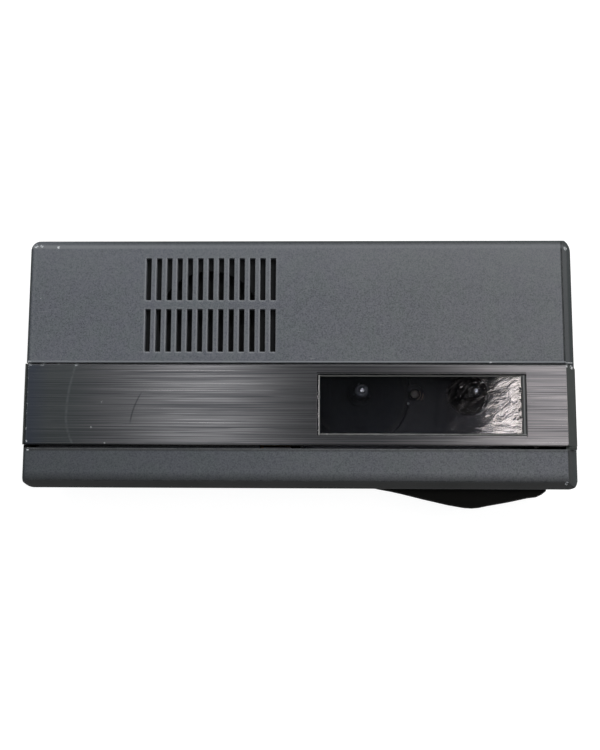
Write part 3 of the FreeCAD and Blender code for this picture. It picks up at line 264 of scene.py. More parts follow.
def case_paint():
    """Grey paint with a fine grain, painted shade and painted highlights along the rims, rubbed edges and pale chips.
    """
    g = Material("case_paint")
    x, y, z = g.x, g.y, g.z
    grain = g.noise(3.4, 3.0, 0.65)
    speck = g.cells(4.2)
    cloud = g.noise(0.055, 4.0, 0.6)
    hue = g.noise(0.20, 3.0, 0.55)
    g.ground(g.span(cloud, 0.35, 0.65), (0.097, 0.106, 0.121), (0.116, 0.124, 0.139))
    g.paint(g.span(hue, 0.50, 0.60, 0.0, 0.55), (0.107, 0.124, 0.129))
    g.paint(g.span(hue, 0.40, 0.49, 0.55, 0.0), (0.110, 0.114, 0.138))
    g.paint(g.span(grain, 0.38, 0.64, 0.0, 0.62), (0.190, 0.198, 0.214))
    g.paint(g.span(grain, 0.32, 0.46, 0.50, 0.0), (0.060, 0.064, 0.075))
    dirt = g.span(g.noise(0.9, 4.0, 0.7), 0.60, 0.74, 0.0, 0.4)
    g.paint(dirt, (0.070, 0.072, 0.078))
    lint = g.noise(0.7, 2.0, 0.5, g.stretch((300, 3600, 1000), (0, 0, 0.5)))
    g.paint(g.span(lint, 0.74, 0.78, 0.0, 0.35), (0.33, 0.34, 0.35))

    # painted light: paler towards the upper edge and the right end, and warmer to the right
    high = g.span(y, 15, 25, 0.0, 0.24)
    far = g.times(g.span(x, 10, END_X, 0.0, 0.16), g.span(y, 0, 3))
    g.paint(g.math("ADD", high, far), (0.185, 0.195, 0.210))
    g.paint(g.span(x, -20, 30), (1.0, 0.985, 0.955), "MULTIPLY")

    # painted shade: the narrow zone below the door darker, most of all at its left end, darker still on its lower
    # bevel and rim, and a painted shadow under the door's edge
    painted_shade = g.times(g.span(y, -19.3, -18.9, 1.0, 0.0), g.span(x, -END_X, 55, 0.58, 0.04))
    g.paint(painted_shade, (0.034, 0.039, 0.042))
    upper = g.span(z, 21.5, 23.5)
    g.paint(g.times(upper, g.span(y, -26.0, -24.2, 0.72, 0.0)), (0.022, 0.023, 0.023))
    low_bevel_shade = g.times(g.span(y, -26.5, -25.9, 1.0, 0.0), g.span(x, -END_X, 40, 0.96, 0.78), upper)
    g.paint(low_bevel_shade, (0.015, 0.0155, 0.015))
    door_shadow = g.times(g.span(y, -19.85, -19.55), g.span(y, -18.9, -18.8, 0.62, 0.0),
                    g.span(x, -END_X, 50, 1.0, 0.60))
    g.paint(door_shadow, (0.030, 0.030, 0.028))

    # painted shade: the bevel at the right end darkened, with a darker painted crease where it starts
    past = g.math("SUBTRACT", x, g.span(y, -19, -18.9, 0.24, 0.0))
    right_bevel_shade = g.times(upper, g.span(past, 58.2, 58.5))
    g.paint(g.times(right_bevel_shade, g.span(y, -19, 0, 0.92, 0.70)), (0.026, 0.030, 0.030))
    g.paint(g.times(right_bevel_shade, g.span(y, -19.2, -18.8, 0.32, 0.0)), (0.008, 0.009, 0.009))
    crease_shade = g.times(upper, g.line(past, 58.48, 0.15, 0.32, 0.80))
    g.paint(crease_shade, (0.014, 0.016, 0.016))

    # painted shade: a dark outer rim on the upper edge and both ends, where the roundings turn from the light
    top_rim_shade = g.times(g.span(y, 26.5, 27.4), g.span(x, -58, -30, 0.45, 1.0))
    end_rim_shade = g.largest(g.span(x, -60.95, -60.3, 1.0, 0.0), g.span(x, 59.7, 60.3))
    rim = g.times(upper, g.largest(top_rim_shade, end_rim_shade))
    g.paint(g.times(rim, 0.90), (0.022, 0.028, 0.029))

    # rubbed bright roundings, and painted highlights on the edges of the grille's slots
    rub = g.times(g.edges(0.55), g.span(g.noise(0.5, 3.0, 0.6), 0.35, 0.62, 0.05, 0.45))
    g.paint(rub, (0.250, 0.255, 0.262))
    grille_highlight = g.times(g.span(x, -4.8, -4.2, 1.0, 0.0), g.times(g.span(x, -35.9, -35.3), g.span(y, 1.0, 1.8)))
    g.paint(g.times(grille_highlight, g.edges(0.8), 0.95), (0.30, 0.31, 0.325))

    # painted highlights: pale lines along the upper and left edges and beside the hinge seam; painted light on the
    # seam's wall
    top_highlight = g.times(g.line(y, 26.3, 0.2, 0.6), g.span(x, -50, -15, 0.80, 0.30))
    left = g.line(x, -60.0, 0.10, 0.35, 0.12)
    edge_highlights = g.times(g.largest(top_highlight, left), g.span(z, 25.5, 25.9), g.span(y, -18.9, -18.4))
    g.paint(edge_highlights, (0.215, 0.225, 0.235))
    seam_highlight = g.times(g.line(y, 0.15, 0.10, 0.17, 0.62), g.span(z, 25.6, 25.9))
    g.paint(seam_highlight, (0.31, 0.325, 0.345))
    wall_light = g.times(g.line(y, 0.0, 0.03, 0.06), g.span(z, 25.4, 25.75, 1.0, 0.0))
    g.paint(g.times(wall_light, g.span(x, 0, 45, 0.9, 0.0)), (0.55, 0.56, 0.54))

    g.flecks(CHIPS, 1.9, 3.0, 0.8, 0.48, CHIP_COLOR)
    normal = g.bump(grain, 0.30, 0.03, g.bump(speck, 0.40, 0.035, g.soft(0.5)))
    return g.finish(g.span(cloud, 0.3, 0.7, 0.42, 0.52), normal, Specular_IOR_Level=0.09)


def brushed_plate():
    """Dark metal brushed along the case, with a few scratches and nicks."""
    g = Material("brushed_plate")
    x, y = g.x, g.y
    fine = g.noise(1.0, 2.0, 0.6, g.stretch((34, 9500, 9500)))
    streak = g.noise(1.0, 3.0, 0.6, g.stretch((24, 4700, 4700), shift=(3, 1, 0)))
    wide = g.noise(1.0, 2.0, 0.5, g.stretch((16, 900, 900), shift=(9, 4, 0)))
    bright = g.noise(1.0, 1.0, 0.5, g.stretch((60, 5200, 5200), shift=(1, 7, 0)))
    lines = g.math("ADD", g.times(fine, 0.45), g.times(streak, 0.55))
    g.ground(g.span(lines, 0.40, 0.60), (0.058, 0.060, 0.067), (0.183, 0.182, 0.189))
    g.paint(g.span(wide, 0.35, 0.65, 0.0, 0.18), (0.100, 0.101, 0.108))
    g.paint(g.span(bright, 0.66, 0.72, 0.0, 0.5), (0.30, 0.30, 0.31))

    # one long curved rub near the left end: a parabola, bent more below its middle
    rise = g.math("ADD", y, 12.2)
    bow = g.times(g.times(rise, rise), g.span(rise, -0.5, 0.5, 0.045, 0.0134))
    curve = g.line(g.math("ADD", x, 51.65), bow, 0.05, 0.42, 0.44)
    g.paint(g.times(curve, g.span(g.noise(1.3, 3.0, 0.6), 0.30, 0.6)), (0.30, 0.32, 0.34))

    # one short dark score to the right of it
    along = g.math("ADD", y, 10.0)
    bend = g.math("ADD", g.times(along, 0.36), g.times(along, along, 0.035))
    score = g.times(g.line(g.math("ADD", x, 36.55), bend, 0.06, 0.27, 0.60), g.line(y, -10.2, 2.4, 3.8))
    g.paint(score, (0.035, 0.036, 0.040))

    # greenish, then bluish towards the left end; duller beside the window
    g.paint(g.span(x, -51.0, -44.0, 0.45, 0.0), (0.082, 0.096, 0.094))
    g.paint(g.span(x, -59.5, -55.5, 0.50, 0.0), (0.070, 0.080, 0.118))
    worn = g.times(g.span(x, -15, 1), g.span(x, 50, 60, 0.34, 0.30), g.span(y, -17.2, -16.4, 0.35, 1.0))
    g.paint(worn, (0.030, 0.030, 0.032))

    g.flecks(HINGE_NICKS + PLATE_NICKS, 2.6, 2.0, 0.7, 0.46, NICK_COLOR)
    hinge = g.times(g.span(y, -0.68, -0.52), g.span(x, -END_X, 40, 1.0, 0.30))
    g.paint(hinge, (0.42, 0.43, 0.45))

    # painted left end, scuffed bright along its corner
    g.paint(g.span(x, -60.50, -60.40, 1.0, 0.0), (0.030, 0.036, 0.038))
    scuff = g.times(g.line(x, -60.42, 0.05, 0.16), g.span(g.noise(0.8, 3.0, 0.7), 0.56, 0.62, 0.1, 1.0))
    g.paint(scuff, (0.42, 0.43, 0.44))

    # bright edges, painted shade on the lower edge, and painted shade lines for the gaps above and to the right of
    # the window
    g.paint(g.times(g.edges(0.22), g.span(y, -18.05, -17.85, 0.0, 0.40)), (0.36, 0.36, 0.36))
    g.paint(g.span(y, -18.20, -17.96, 0.70, 0.0), (0.012, 0.012, 0.012))
    gap_shade_color = (0.012, 0.012, 0.013)
    g.paint(g.times(g.line(y, -2.36, 0.08, 0.16, 0.75), g.line(x, 26.8, 23.0, 23.1)), gap_shade_color)
    g.paint(g.times(g.line(x, 49.74, 0.10, 0.18, 0.65), g.line(y, -9.5, 6.9, 7.0)), gap_shade_color)

    tangent = g.node("ShaderNodeCombineXYZ")
    tangent.inputs[1].default_value = 1.0
    g.put(g.bsdf.inputs["Tangent"], tangent.outputs[0])
    rough = g.span(lines, 0.35, 0.65, 0.38, 0.27)
    return g.finish(rough, g.bump(lines, 0.35, 0.012, g.soft(0.12)), Metallic=1.0, Anisotropic=0.75)


def moulded(name, dark, light, rough=(0.38, 0.52), grain=4.0, depth=0.02, edge_color=None, gloss=0.5, wear=0.5):
    """Moulded plastic: fine texture, uneven sheen, light rubbing on the edges."""
    g = Material(name)
    cloud = g.noise(0.11, 4.0, 0.6)
    fine = g.noise(grain, 3.0, 0.6)
    scratch = g.noise(1.0, 2.0, 0.5, g.stretch((260, 4200, 1200), (0, 0, 0.7)))
    g.ground(g.span(cloud, 0.35, 0.65), dark, light)
    g.paint(g.span(fine, 0.35, 0.7, 0.0, 0.3), scaled(light, 1.35, 0.004))
    g.paint(g.span(scratch, 0.70, 0.75, 0.0, 0.35), scaled(light, 2.0, 0.02))
    edge = g.times(g.edges(0.3), g.span(g.noise(0.6, 3.0, 0.6), 0.3, 0.65, 0.15, wear))
    g.paint(edge, edge_color or scaled(light, 2.2, 0.03))
    normal = g.bump(fine, 0.25, depth, g.soft(0.15))
    return g.finish(g.span(fine, 0.3, 0.7, *rough), normal, Specular_IOR_Level=gloss)


def metal(name, dark, light, rough=(0.22, 0.38), stretch=(60, 2500, 60)):
    """Worked metal with directional streaks and faint tarnish."""
    g = Material(name)
    streak = g.noise(1.0, 3.0, 0.6, g.stretch(stretch))
    tarnish = g.noise(0.25, 4.0, 0.65)
    g.ground(g.span(streak, 0.35, 0.65), dark, light)
    g.paint(g.span(tarnish, 0.5, 0.75, 0.0, 0.4), scaled(dark, 0.6))
    g.paint(g.times(g.edges(0.15), 0.4), scaled(light, 1.25))
    normal = g.bump(streak, 0.2, 0.008, g.soft(0.08))
    return g.finish(g.span(streak, 0.3, 0.7, *rough), normal, Metallic=1.0)


def turned_metal(name, dark, light, axis, rough=(0.2, 0.36), pitch=6.0):
    """Metal with fine turning rings about an upright axis."""
    g = Material(name)
    rings = g.rings(g.distance(*axis), pitch, 3.0)
    g.ground(g.span(rings, 0.35, 0.65), dark, light)
    g.paint(g.span(g.noise(0.3, 4.0, 0.6), 0.55, 0.8, 0.0, 0.4), scaled(dark, 0.55))
    normal = g.bump(rings, 0.3, 0.01, g.soft(0.08))
    return g.finish(g.span(rings, 0.3, 0.7, *rough), normal, Metallic=1.0)


def reel_plastic(name, axis, shade=1.0, crown=(0.075, 0.078, 0.083), gloss=0.10):
    """Dark moulding with turning rings about the reel's axis, a rim line and a hub top of its own."""
    rim_radius, bore_radius, hub_radius = 9.45, 1.45, 1.7
    hub_low, hub_top = 22.6, 22.8
    g = Material(name)
    radius = g.distance(*axis)
    rings = g.rings(radius, 1.6, 2.0)
    cloud = g.noise(0.16, 4.0, 0.6)
    g.ground(g.span(cloud, 0.35, 0.65), (0.0130, 0.0140, 0.0170), (0.0210, 0.0225, 0.0265))
    g.paint(g.span(rings, 0.50, 0.62, 0.0, 0.6), (0.034, 0.035, 0.040))
    # painted shade: the whole reel darker by the shade given
    g.paint(1.0 - shade, (0.001, 0.001, 0.001))
    g.paint(g.line(radius, rim_radius, 0.05, 0.20, 0.8), (0.026, 0.027, 0.030))
    g.paint(g.times(g.span(g.z, hub_low, hub_top), g.span(radius, bore_radius, hub_radius, 1.0, 0.3)), crown)
    normal = g.bump(rings, 0.3, 0.01, g.soft(0.10))
    return g.finish(g.span(rings, 0.3, 0.7, 0.32, 0.46), normal, Specular_IOR_Level=gloss)


def window_plastic():
    """Clear smoked acrylic with a scratched skin at its right end."""
    g = Material("window_clear")
    x, y = g.x, g.y

    # slanting scratches, and level ones along the lower edge
    slanted = g.node("ShaderNodeMapping", vector_type="TEXTURE")
    g.put(slanted.inputs["Vector"], g.mm)
    slanted.inputs["Rotation"].default_value = (0, 0, 0.66)
    slanted.inputs["Scale"].default_value = (1.7, 0.33, 1.0)
    hatch = g.noise(1.0, 1.5, 0.6, slanted.outputs["Vector"], 0.25)
    level = g.noise(1.0, 2.0, 0.5, g.stretch((330, 3300, 800)))
    relief = g.node("ShaderNodeMix", data_type="FLOAT")
    for index, value in ((0, g.span(y, -13.8, -12.4, 1.0, 0.0)), (2, hatch), (3, level)):
        g.put(relief.inputs[index], value)
    scratched = relief.outputs[0]

    g.base = (0.62, 0.63, 0.67, 1)
    rough = g.span(g.noise(0.5, 3.0, 0.5), 0.3, 0.7, 0.006, 0.020)
    g.finish(rough, g.soft(0.05), IOR=1.32, Transmission_Weight=1.0,
             Coat_Weight=1.0, Coat_IOR=1.48, Coat_Roughness=0.06)
    skin = g.times(scratched, g.span(x, 40.0, 44.0, 0.06, 1.0))
    g.put(g.bsdf.inputs["Coat Normal"], g.bump(skin, 0.55, 0.05))

    # the gloss is cut away in strokes at the right end and nearly all over to their left, less in a flat view
    edge = g.math("SUBTRACT", x, g.times(g.math("ADD", y, 9.0), 0.28))
    cut = g.span(g.math("SUBTRACT", scratched, g.span(edge, 40.5, 46.5, 0.36, 0.53)), 0.0, 0.05, 0.0, 0.92)
    facing = g.node("ShaderNodeLayerWeight").outputs["Facing"]
    cut = g.times(cut, g.span(x, 29.0, 32.5), g.span(facing, 0.15, 0.5, 1.0, 0.2))
    clear = g.shader("ShaderNodeBsdfTransparent", Color=(0.76, 0.77, 0.80, 1))
    surface = g.blend(cut, g.bsdf.outputs[0], clear)

    # haze in the hollows of the scratches, a pale film there that is also a painted glare of the lamp, and a little
    # dust over the small well
    glare_zone = g.times(g.span(edge, 41.5, 47.5), g.times(g.span(y, -15.6, -14.8), g.span(x, 48.2, 48.5, 1.0, 0.0)))
    haze_and_glare = g.times(g.span(scratched, 0.38, 0.52, 0.30, 0.0), glare_zone)
    filled = g.times(g.span(hatch, 0.58, 0.66), g.line(x, 37.5, 3.0, 6.5, 0.06))
    dust_and_glare_film = g.shader("ShaderNodeBsdfDiffuse", Color=(0.68, 0.62, 0.60, 1))
    surface = g.blend(g.largest(haze_and_glare, filled), surface, dust_and_glare_film)

    # light that falls through onto the bay is dimmed
    shade = g.shader("ShaderNodeBsdfTransparent", Color=(0.55, 0.56, 0.60, 1))
    shadow = g.node("ShaderNodeLightPath").outputs["Is Shadow Ray"]
    g.put(g.output.inputs["Surface"], g.blend(shadow, surface, shade))
    return g.material


def ground_rim():
    """Ground edge of the window: pale on its left and lower sides as a painted reflection, dark on the others as
    painted shade, with painted highlight lines.
    """
    g = Material("window_rim")
    x, y = g.x, g.y
    grind = g.noise(1.0, 3.0, 0.6, g.stretch((500, 500, 500)))
    nick = g.noise(0.7, 2.0, 0.7)
    grind_mix = g.span(grind, 0.3, 0.7)
    # painted reflection on the left and lower sides, with bright nicks
    pale = g.mix(grind_mix, (0.20, 0.20, 0.195), (0.34, 0.34, 0.33))
    pale = g.mix(g.span(nick, 0.66, 0.72, 0.0, 0.8), pale, (0.75, 0.75, 0.74))
    # painted shade on the other sides, with painted highlight lines along the upper side and near the right one
    painted_shade = g.mix(grind_mix, (0.020, 0.021, 0.021), (0.034, 0.036, 0.036))
    painted_shade = g.mix(g.line(y, -3.06, 0.05, 0.12, 0.85), painted_shade, (0.12, 0.12, 0.115))
    painted_shade = g.mix(g.span(x, 48.0, 48.1, 0.0, 0.6), painted_shade, (0.085, 0.086, 0.086))
    low_left = g.largest(g.span(x, 4.42, 4.46, 1.0, 0.0), g.span(y, -15.78, -15.74, 0.55, 0.0))
    g.ground(low_left, painted_shade, pale)
    # painted highlight along the ridge of the right side
    light_strip = g.times(g.line(x, 49.20, 0.05, 0.14, 0.9), g.span(x, 45, 46))
    g.paint(light_strip, (0.22, 0.225, 0.225))
    return g.finish(g.span(grind, 0.3, 0.7, 0.45, 0.6), g.bump(grind, 0.2, 0.01), Specular_IOR_Level=0.0)


def door_frame():
    """Dark greenish moulding of the door frame, with bright nicks and painted light along the hinge edge."""
    g = Material("door_frame")
    fine = g.noise(5.0, 3.0, 0.6)
    cloud = g.noise(0.11, 4.0, 0.6)
    g.ground(g.span(cloud, 0.35, 0.65), (0.020, 0.024, 0.022), (0.029, 0.034, 0.031))
    g.paint(g.span(fine, 0.35, 0.7, 0.0, 0.3), (0.045, 0.050, 0.047))
    # painted light on the border strip beside the hinge seam
    seam_light = g.times(g.span(g.y, -0.9, -0.7), g.span(g.z, 25.55, 25.75), g.line(g.x, 0.0, 60.5, 60.8))
    g.paint(g.times(seam_light, 0.8), (0.17, 0.175, 0.182))
    edge = g.times(g.edges(0.3), g.span(g.noise(0.6, 3.0, 0.6), 0.3, 0.65, 0.05, 0.35))
    g.paint(edge, (0.10, 0.105, 0.10))
    g.flecks(HINGE_NICKS, 2.6, 2.0, 0.7, 0.46, NICK_COLOR)
    normal = g.bump(fine, 0.25, 0.02, g.soft(0.15))
    return g.finish(g.span(fine, 0.3, 0.7, 0.38, 0.52), normal, Specular_IOR_Level=0.10)


def gauze():
    """Black woven dust cloth."""
    g = Material("speaker_gauze")
    across, along = [g.math("SINE", g.times(value, 15.0)) for value in (g.x, g.y)]
    weave = g.times(across, along)
    g.ground(g.span(weave, -1, 1), (0.006, 0.006, 0.007), (0.030, 0.030, 0.032))
    g.paint(g.span(g.noise(0.4, 3.0, 0.6), 0.55, 0.75, 0.0, 0.5), (0.05, 0.048, 0.045))
    return g.finish(0.9, g.bump(weave, 0.6, 0.06), Sheen_Weight=0.2)


def rubber(name="rubber", shade=1.0):
    """Matt black rubber, dusty in patches."""
    g = Material(name)
    fine = g.noise(6.0, 3.0, 0.6)
    g.ground(g.span(fine, 0.3, 0.7), (shade * 0.014,) * 3, (shade * 0.030,) * 3)
    g.paint(g.span(g.noise(0.35, 4.0, 0.65), 0.52, 0.75, 0.0, 0.4 * shade), (0.060, 0.056, 0.052))
    return g.finish(g.span(fine, 0.3, 0.7, 0.55, 0.75), g.bump(fine, 0.3, 0.02, g.soft(0.1)))


def board():
    """Phenolic board with faint fibres and copper tracks under the lacquer."""
    g = Material("board")
    fibre = g.noise(1.0, 3.0, 0.6, g.stretch((160, 1400, 400)))
    g.ground(g.span(fibre, 0.35, 0.65), (0.30, 0.19, 0.075), (0.42, 0.29, 0.13))
    track = g.node("ShaderNodeTexBrick", offset=0.37)
    g.put(track.inputs["Vector"], g.mm)
    track.inputs["Scale"].default_value = 0.24
    track.inputs["Mortar Size"].default_value = 0.09
    g.paint(g.times(track.outputs["Fac"], 0.6), (0.52, 0.24, 0.09))
    return g.finish(g.span(fibre, 0.3, 0.7, 0.3, 0.5), g.bump(fibre, 0.2, 0.02, g.soft(0.1)))


def paper():
    """Black pulp of the loudspeaker's cone."""
    g = Material("paper_cone")
    pulp = g.noise(2.6, 4.0, 0.7)
    g.ground(g.span(pulp, 0.3, 0.7), (0.020, 0.019, 0.018), (0.055, 0.052, 0.048))
    return g.finish(0.85, g.bump(pulp, 0.5, 0.05))


MATERIALS = {
    "case_paint": case_paint(),
    "rear": moulded("rear_plastic", (0.030, 0.032, 0.036), (0.044, 0.046, 0.051), (0.42, 0.58), 7.0, 0.04,
                    wear=0.6),
    "frame": door_frame(),
    "door_plastic": moulded("door_plastic", (0.024, 0.028, 0.026), (0.036, 0.041, 0.038), (0.35, 0.5), 5.0, 0.02,
                            gloss=0.12, wear=0.5),
    "plate": brushed_plate(),
    "window": window_plastic(),
    "black": moulded("black_plastic", (0.0032, 0.0033, 0.0027), (0.0050, 0.0050, 0.0041), (0.50, 0.65), 5.0, 0.03,
                     gloss=0.1, wear=0.25),
    "bay": moulded("bay_plastic", (0.0060, 0.0068, 0.0088), (0.0096, 0.0104, 0.0128), (0.35, 0.48), 3.0, 0.02,
                   gloss=0.35, wear=0.12),
    "backing": moulded("backing", (0.0050, 0.0056, 0.0062), (0.0085, 0.0095, 0.0105), (0.45, 0.6), 5.0, 0.03,
                       gloss=0.10, wear=0.15),
    "grey": moulded("grey_plastic", (0.16, 0.16, 0.17), (0.22, 0.22, 0.23), (0.35, 0.5), 4.0, 0.02),
    "pale": moulded("pale_plastic", (0.20, 0.18, 0.15), (0.30, 0.27, 0.22), (0.3, 0.45), 4.0, 0.02),
    "red": moulded("red_plastic", (0.42, 0.030, 0.022), (0.52, 0.045, 0.032), (0.25, 0.4), 4.0, 0.015,
                   (0.75, 0.28, 0.24)),
    "chip": moulded("chip", (0.018, 0.018, 0.020), (0.030, 0.030, 0.032), (0.5, 0.7), 8.0, 0.03),
    "near_black": moulded("near_black_dot", (0.001, 0.001, 0.001), (0.002, 0.002, 0.002), (0.7, 0.9), 5.0, 0.01,
                    gloss=0.1, wear=0.1),
    "spot": moulded("pale_dot", (0.50, 0.50, 0.50), (0.66, 0.66, 0.66), (0.2, 0.3), 6.0, 0.005),
    "light_strip": moulded("seam_light_strip", (0.45, 0.46, 0.48), (0.56, 0.57, 0.59), (0.5, 0.65), 3.0, 0.01,
                     gloss=0.1, wear=0.3),
    "worn": moulded("worn_ring", (0.25, 0.19, 0.14), (0.36, 0.28, 0.21), (0.4, 0.55), 6.0, 0.01,
                    gloss=0.2, wear=0.2),
    "glint_edge": moulded("glint_edge", (0.34, 0.34, 0.33), (0.52, 0.52, 0.50), (0.3, 0.45), 6.0, 0.01,
                         gloss=0.3, wear=0.2),
    "reel_left": reel_plastic("reel_left", TAKE_UP_AXIS),
    # painted shade: the supply reel and the tyre are darker copies of the reel plastic and the rubber, the reel with
    # a darker hub top
    "reel_right": reel_plastic("reel_right", SUPPLY_AXIS, 0.25, (0.006, 0.0065, 0.008), 0.02),
    "tyre": rubber("tyre", 0.34),
    "rubber": rubber(),
    "rim": ground_rim(),
    "gauze": gauze(),
    "board": board(),
    "paper": paper(),
    "tip": metal("pin_tip", (0.84, 0.85, 0.86), (0.94, 0.94, 0.94), (0.06, 0.12)),
    "nickel": metal("nickel", (0.45, 0.44, 0.42), (0.62, 0.61, 0.58), (0.2, 0.34)),
    "steel": metal("steel", (0.42, 0.42, 0.43), (0.62, 0.62, 0.63)),
    "spring": metal("spring_steel", (0.50, 0.49, 0.46), (0.68, 0.66, 0.62), (0.18, 0.3)),
    "can": metal("aluminium", (0.60, 0.60, 0.61), (0.78, 0.78, 0.79), (0.25, 0.4), (900, 900, 40)),
    "zinc": metal("zinc", (0.34, 0.34, 0.35), (0.48, 0.48, 0.49), (0.4, 0.55)),
    "deck": metal("deck_steel", (0.045, 0.045, 0.050), (0.075, 0.075, 0.080), (0.4, 0.55)),
    "chrome": metal("head_metal", (0.70, 0.70, 0.69), (0.85, 0.85, 0.84), (0.08, 0.16)),
    "brass": turned_metal("brass", (0.50, 0.36, 0.15), (0.72, 0.55, 0.27), FLYWHEEL_AXIS),
    "pin": turned_metal("pin_steel", (0.60, 0.60, 0.60), (0.82, 0.82, 0.82), TAKE_UP_AXIS, (0.12, 0.22), 9.0),
}

# the CAD nodes that each material goes on
WEARERS = {
    "case_paint": "front_cover",
    "rear": "rear_cover battery_door",
    "frame": "door_frame",
    "plate": "door_plate",
    "window": "door_window",
    "black": "volume_wheel idler_wheel erase_head thumb_slide earphone_jack microphone_jack power_jack",
    "bay": "inner_panel deck_moulding",
    "backing": "grille_backing",
    "grey": "volume_pot record_switch",
    "pale": "idler_cap",
    "red": "record_button",
    "chip": "amplifier_chip",
    "reel_left": "take_up_reel",
    "reel_right": "supply_reel",
    "tyre": "take_up_tyre",
    "rubber": "drive_belt idler_belt pinch_roller",
    "gauze": "speaker_gauze",
    "board": "main_board",
    "paper": "speaker_cone",
    "steel": "door_pin_left door_pin_right head_carriage case_screw_1 case_screw_2 case_screw_3 case_screw_4",
    "spring": "battery_spring_left battery_spring_right battery_plate_positive battery_plate_negative battery_bridge",
    "can": "capacitor bias_coil microphone_capsule motor",
    "zinc": "speaker_basket speaker_magnet flywheel_bracket slide_link",
    "deck": "door_catch deck_plate",
    "chrome": "record_head",
    "brass": "flywheel capstan_bearing motor_pulley",
    "pin": "take_up_pin supply_pin capstan",
}
MATERIAL_OF = {name: key for key, names in WEARERS.items() for name in names.split()}

for name, node in nodes.items():
    node.data.materials.clear()
    node.data.materials.append(MATERIALS[MATERIAL_OF[name]])
    for polygon in node.data.polygons:
        polygon.material_index = 0


# ---------------------------------------------------------------- shapes of the added pieces

def lathe(section, center, sides, axis="Z", start=0.0, sweep=2 * math.pi, closed=True):
    """Turn a section of (radius, height) about an axis through center, in full or over part of a turn."""
    whole = sweep >= 2 * math.pi
    steps = sides if whole else sides + 1
    points = []
    for index in range(steps):
        angle = start + sweep * index / sides
        for radius, height in section:
            a, b = radius * math.cos(angle), radius * math.sin(angle)
            offset = {"X": (height, a, b), "Y": (a, height, b), "Z": (a, b, height)}[axis]
            points.append(tuple(middle + along for middle, along in zip(center, offset)))
    count = len(section)
    faces = []
    for index in range(sides):
        after = (index + 1) % steps
        for step in range(count if closed else count - 1):
            other = (step + 1) % count
            faces.append((index * count + step, after * count + step, after * count + other, index * count + other))
    if not whole and closed:
        faces.append(tuple(range(count)))
        faces.append(tuple((steps - 1) * count + step for step in range(count)))
    return points, faces


def bar(profile, stations):
    """Solid bar with the same (Y, Z) profile at each station along X."""
    count = len(profile)
    points = [(x, y, z) for x in stations for y, z in profile]
    last = len(points) - count
    faces = [tuple(range(count)), tuple(range(last, last + count))]
    for start in range(0, last, count):
        for index in range(count):
            after = (index + 1) % count
            faces.append((start + index, start + after, start + count + after, start + count + index))
    return points, faces


def mitred_rim(z, drop):
    """Ground rim of the window: outer edge, ridge, groove and inner edge on each side."""
    points = []
    for share, level in ((0.0, z - drop), (0.30, z), (0.55, z - 0.3 * drop), (1.0, z)):
        left, right = RIM_X[0] + RIM_LEFT * share, RIM_X[1] - RIM_RIGHT * share
        low, high = RIM_Y[0] + RIM_LOW * share, RIM_Y[1] - RIM_HIGH * share
        points += [(left, low, level), (right, low, level), (right, high, level), (left, high, level)]
    faces = []
    for start in (0, 4, 8):
        for index in range(4):
            after = (index + 1) % 4
            faces.append((start + index, start + after, start + 4 + after, start + 4 + index))
    return points, faces


def piece(name, body, shape, material, smooth=False):
    """New mesh, from points in millimetres and faces, that rides on a body."""
    points, faces = shape
    mesh = bpy.data.meshes.new(name)
    mesh.from_pydata([(x * MM, y * MM, z * MM) for x, y, z in points], [], faces)
    work = bmesh.new()
    work.from_mesh(mesh)
    bmesh.ops.recalc_face_normals(work, faces=work.faces)
    work.to_mesh(mesh)
    work.free()
    for polygon in mesh.polygons:
        polygon.use_smooth = smooth
    made = bpy.data.objects.new(name, mesh)
    scene.collection.objects.link(made)
    mesh.materials.append(MATERIALS[material])
    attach(made, body)


# ---------------------------------------------------------------- added pieces

window_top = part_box("door_window")[1][2] / MM
piece("window_rim", "door", mitred_rim(window_top + 0.03, 0.08), "rim")

# end walls of the finger gap, under the ends of the door; the left one black as painted shade in the gap
profile = ((-19.12, 20.95), (-17.6, 20.95), (-17.6, 21.16), (-18.39, 21.16),
           (-18.39, 25.1), (-18.6, 25.3), (-19.12, 25.3))
piece("sill_end_left", "case", bar(profile, (-61.22, -61.12, -59.7)), "black")
piece("sill_end_right", "case", bar(profile, (58.35, 58.45, 60.75)), "door_plastic")

# black lip that closes the finger gap off beside the bay: painted shade in the gap
profile = ((-19.12, 20.55), (-18.16, 20.60), (-18.08, 20.72), (-18.16, 20.84), (-19.12, 20.90))
piece("gap_shade_lip", "case", bar(profile, (-1.95, -1.0, -0.05)), "black")

# pale strip on the wall of the hinge seam: painted light in the seam's shade
profile = ((0.03, 25.2), (-0.12, 25.3), (-0.12, 25.66), (-0.08, 25.78), (0.03, 25.82))
piece("seam_light_strip", "case", bar(profile, (-60.7, -30.0, 0.0, 30.0, 60.2)), "light_strip")

# rounded tips of the two spindle pins
pin_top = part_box("supply_pin")[1][2] / MM
section = [(0.50, -0.20), (0.50, 0.02), (0.44, 0.16), (0.34, 0.24), (0.24, 0.25), (0.16, 0.20), (0.06, 0.14)]
for name, axis in (("take_up_tip", TAKE_UP_AXIS), ("supply_tip", SUPPLY_AXIS)):
    piece(name, "case", lathe(section, (*axis, pin_top), 32, closed=False), "tip", True)

# rivet in the bay's floor and a dark dot on the take-up reel: X, Y
RIVET_AT = (25.15, -8.25)
DARK_DOT_AT = (12.35, -8.2)
section = [(0.30, -0.05), (0.28, 0.10), (0.20, 0.22), (0.05, 0.28)]
rivet = lathe(section, (*RIVET_AT, BAY_FLOOR_Z), 24, closed=False)
piece("floor_rivet", "case", rivet, "spot", True)
section = [(0.46, 0.0), (0.46, 0.02), (0.05, 0.02)]
dark_dot = lathe(section, (*DARK_DOT_AT, REEL_FACE_Z), 24, closed=False)
piece("take_up_dark_dot", "take_up", dark_dot, "near_black")

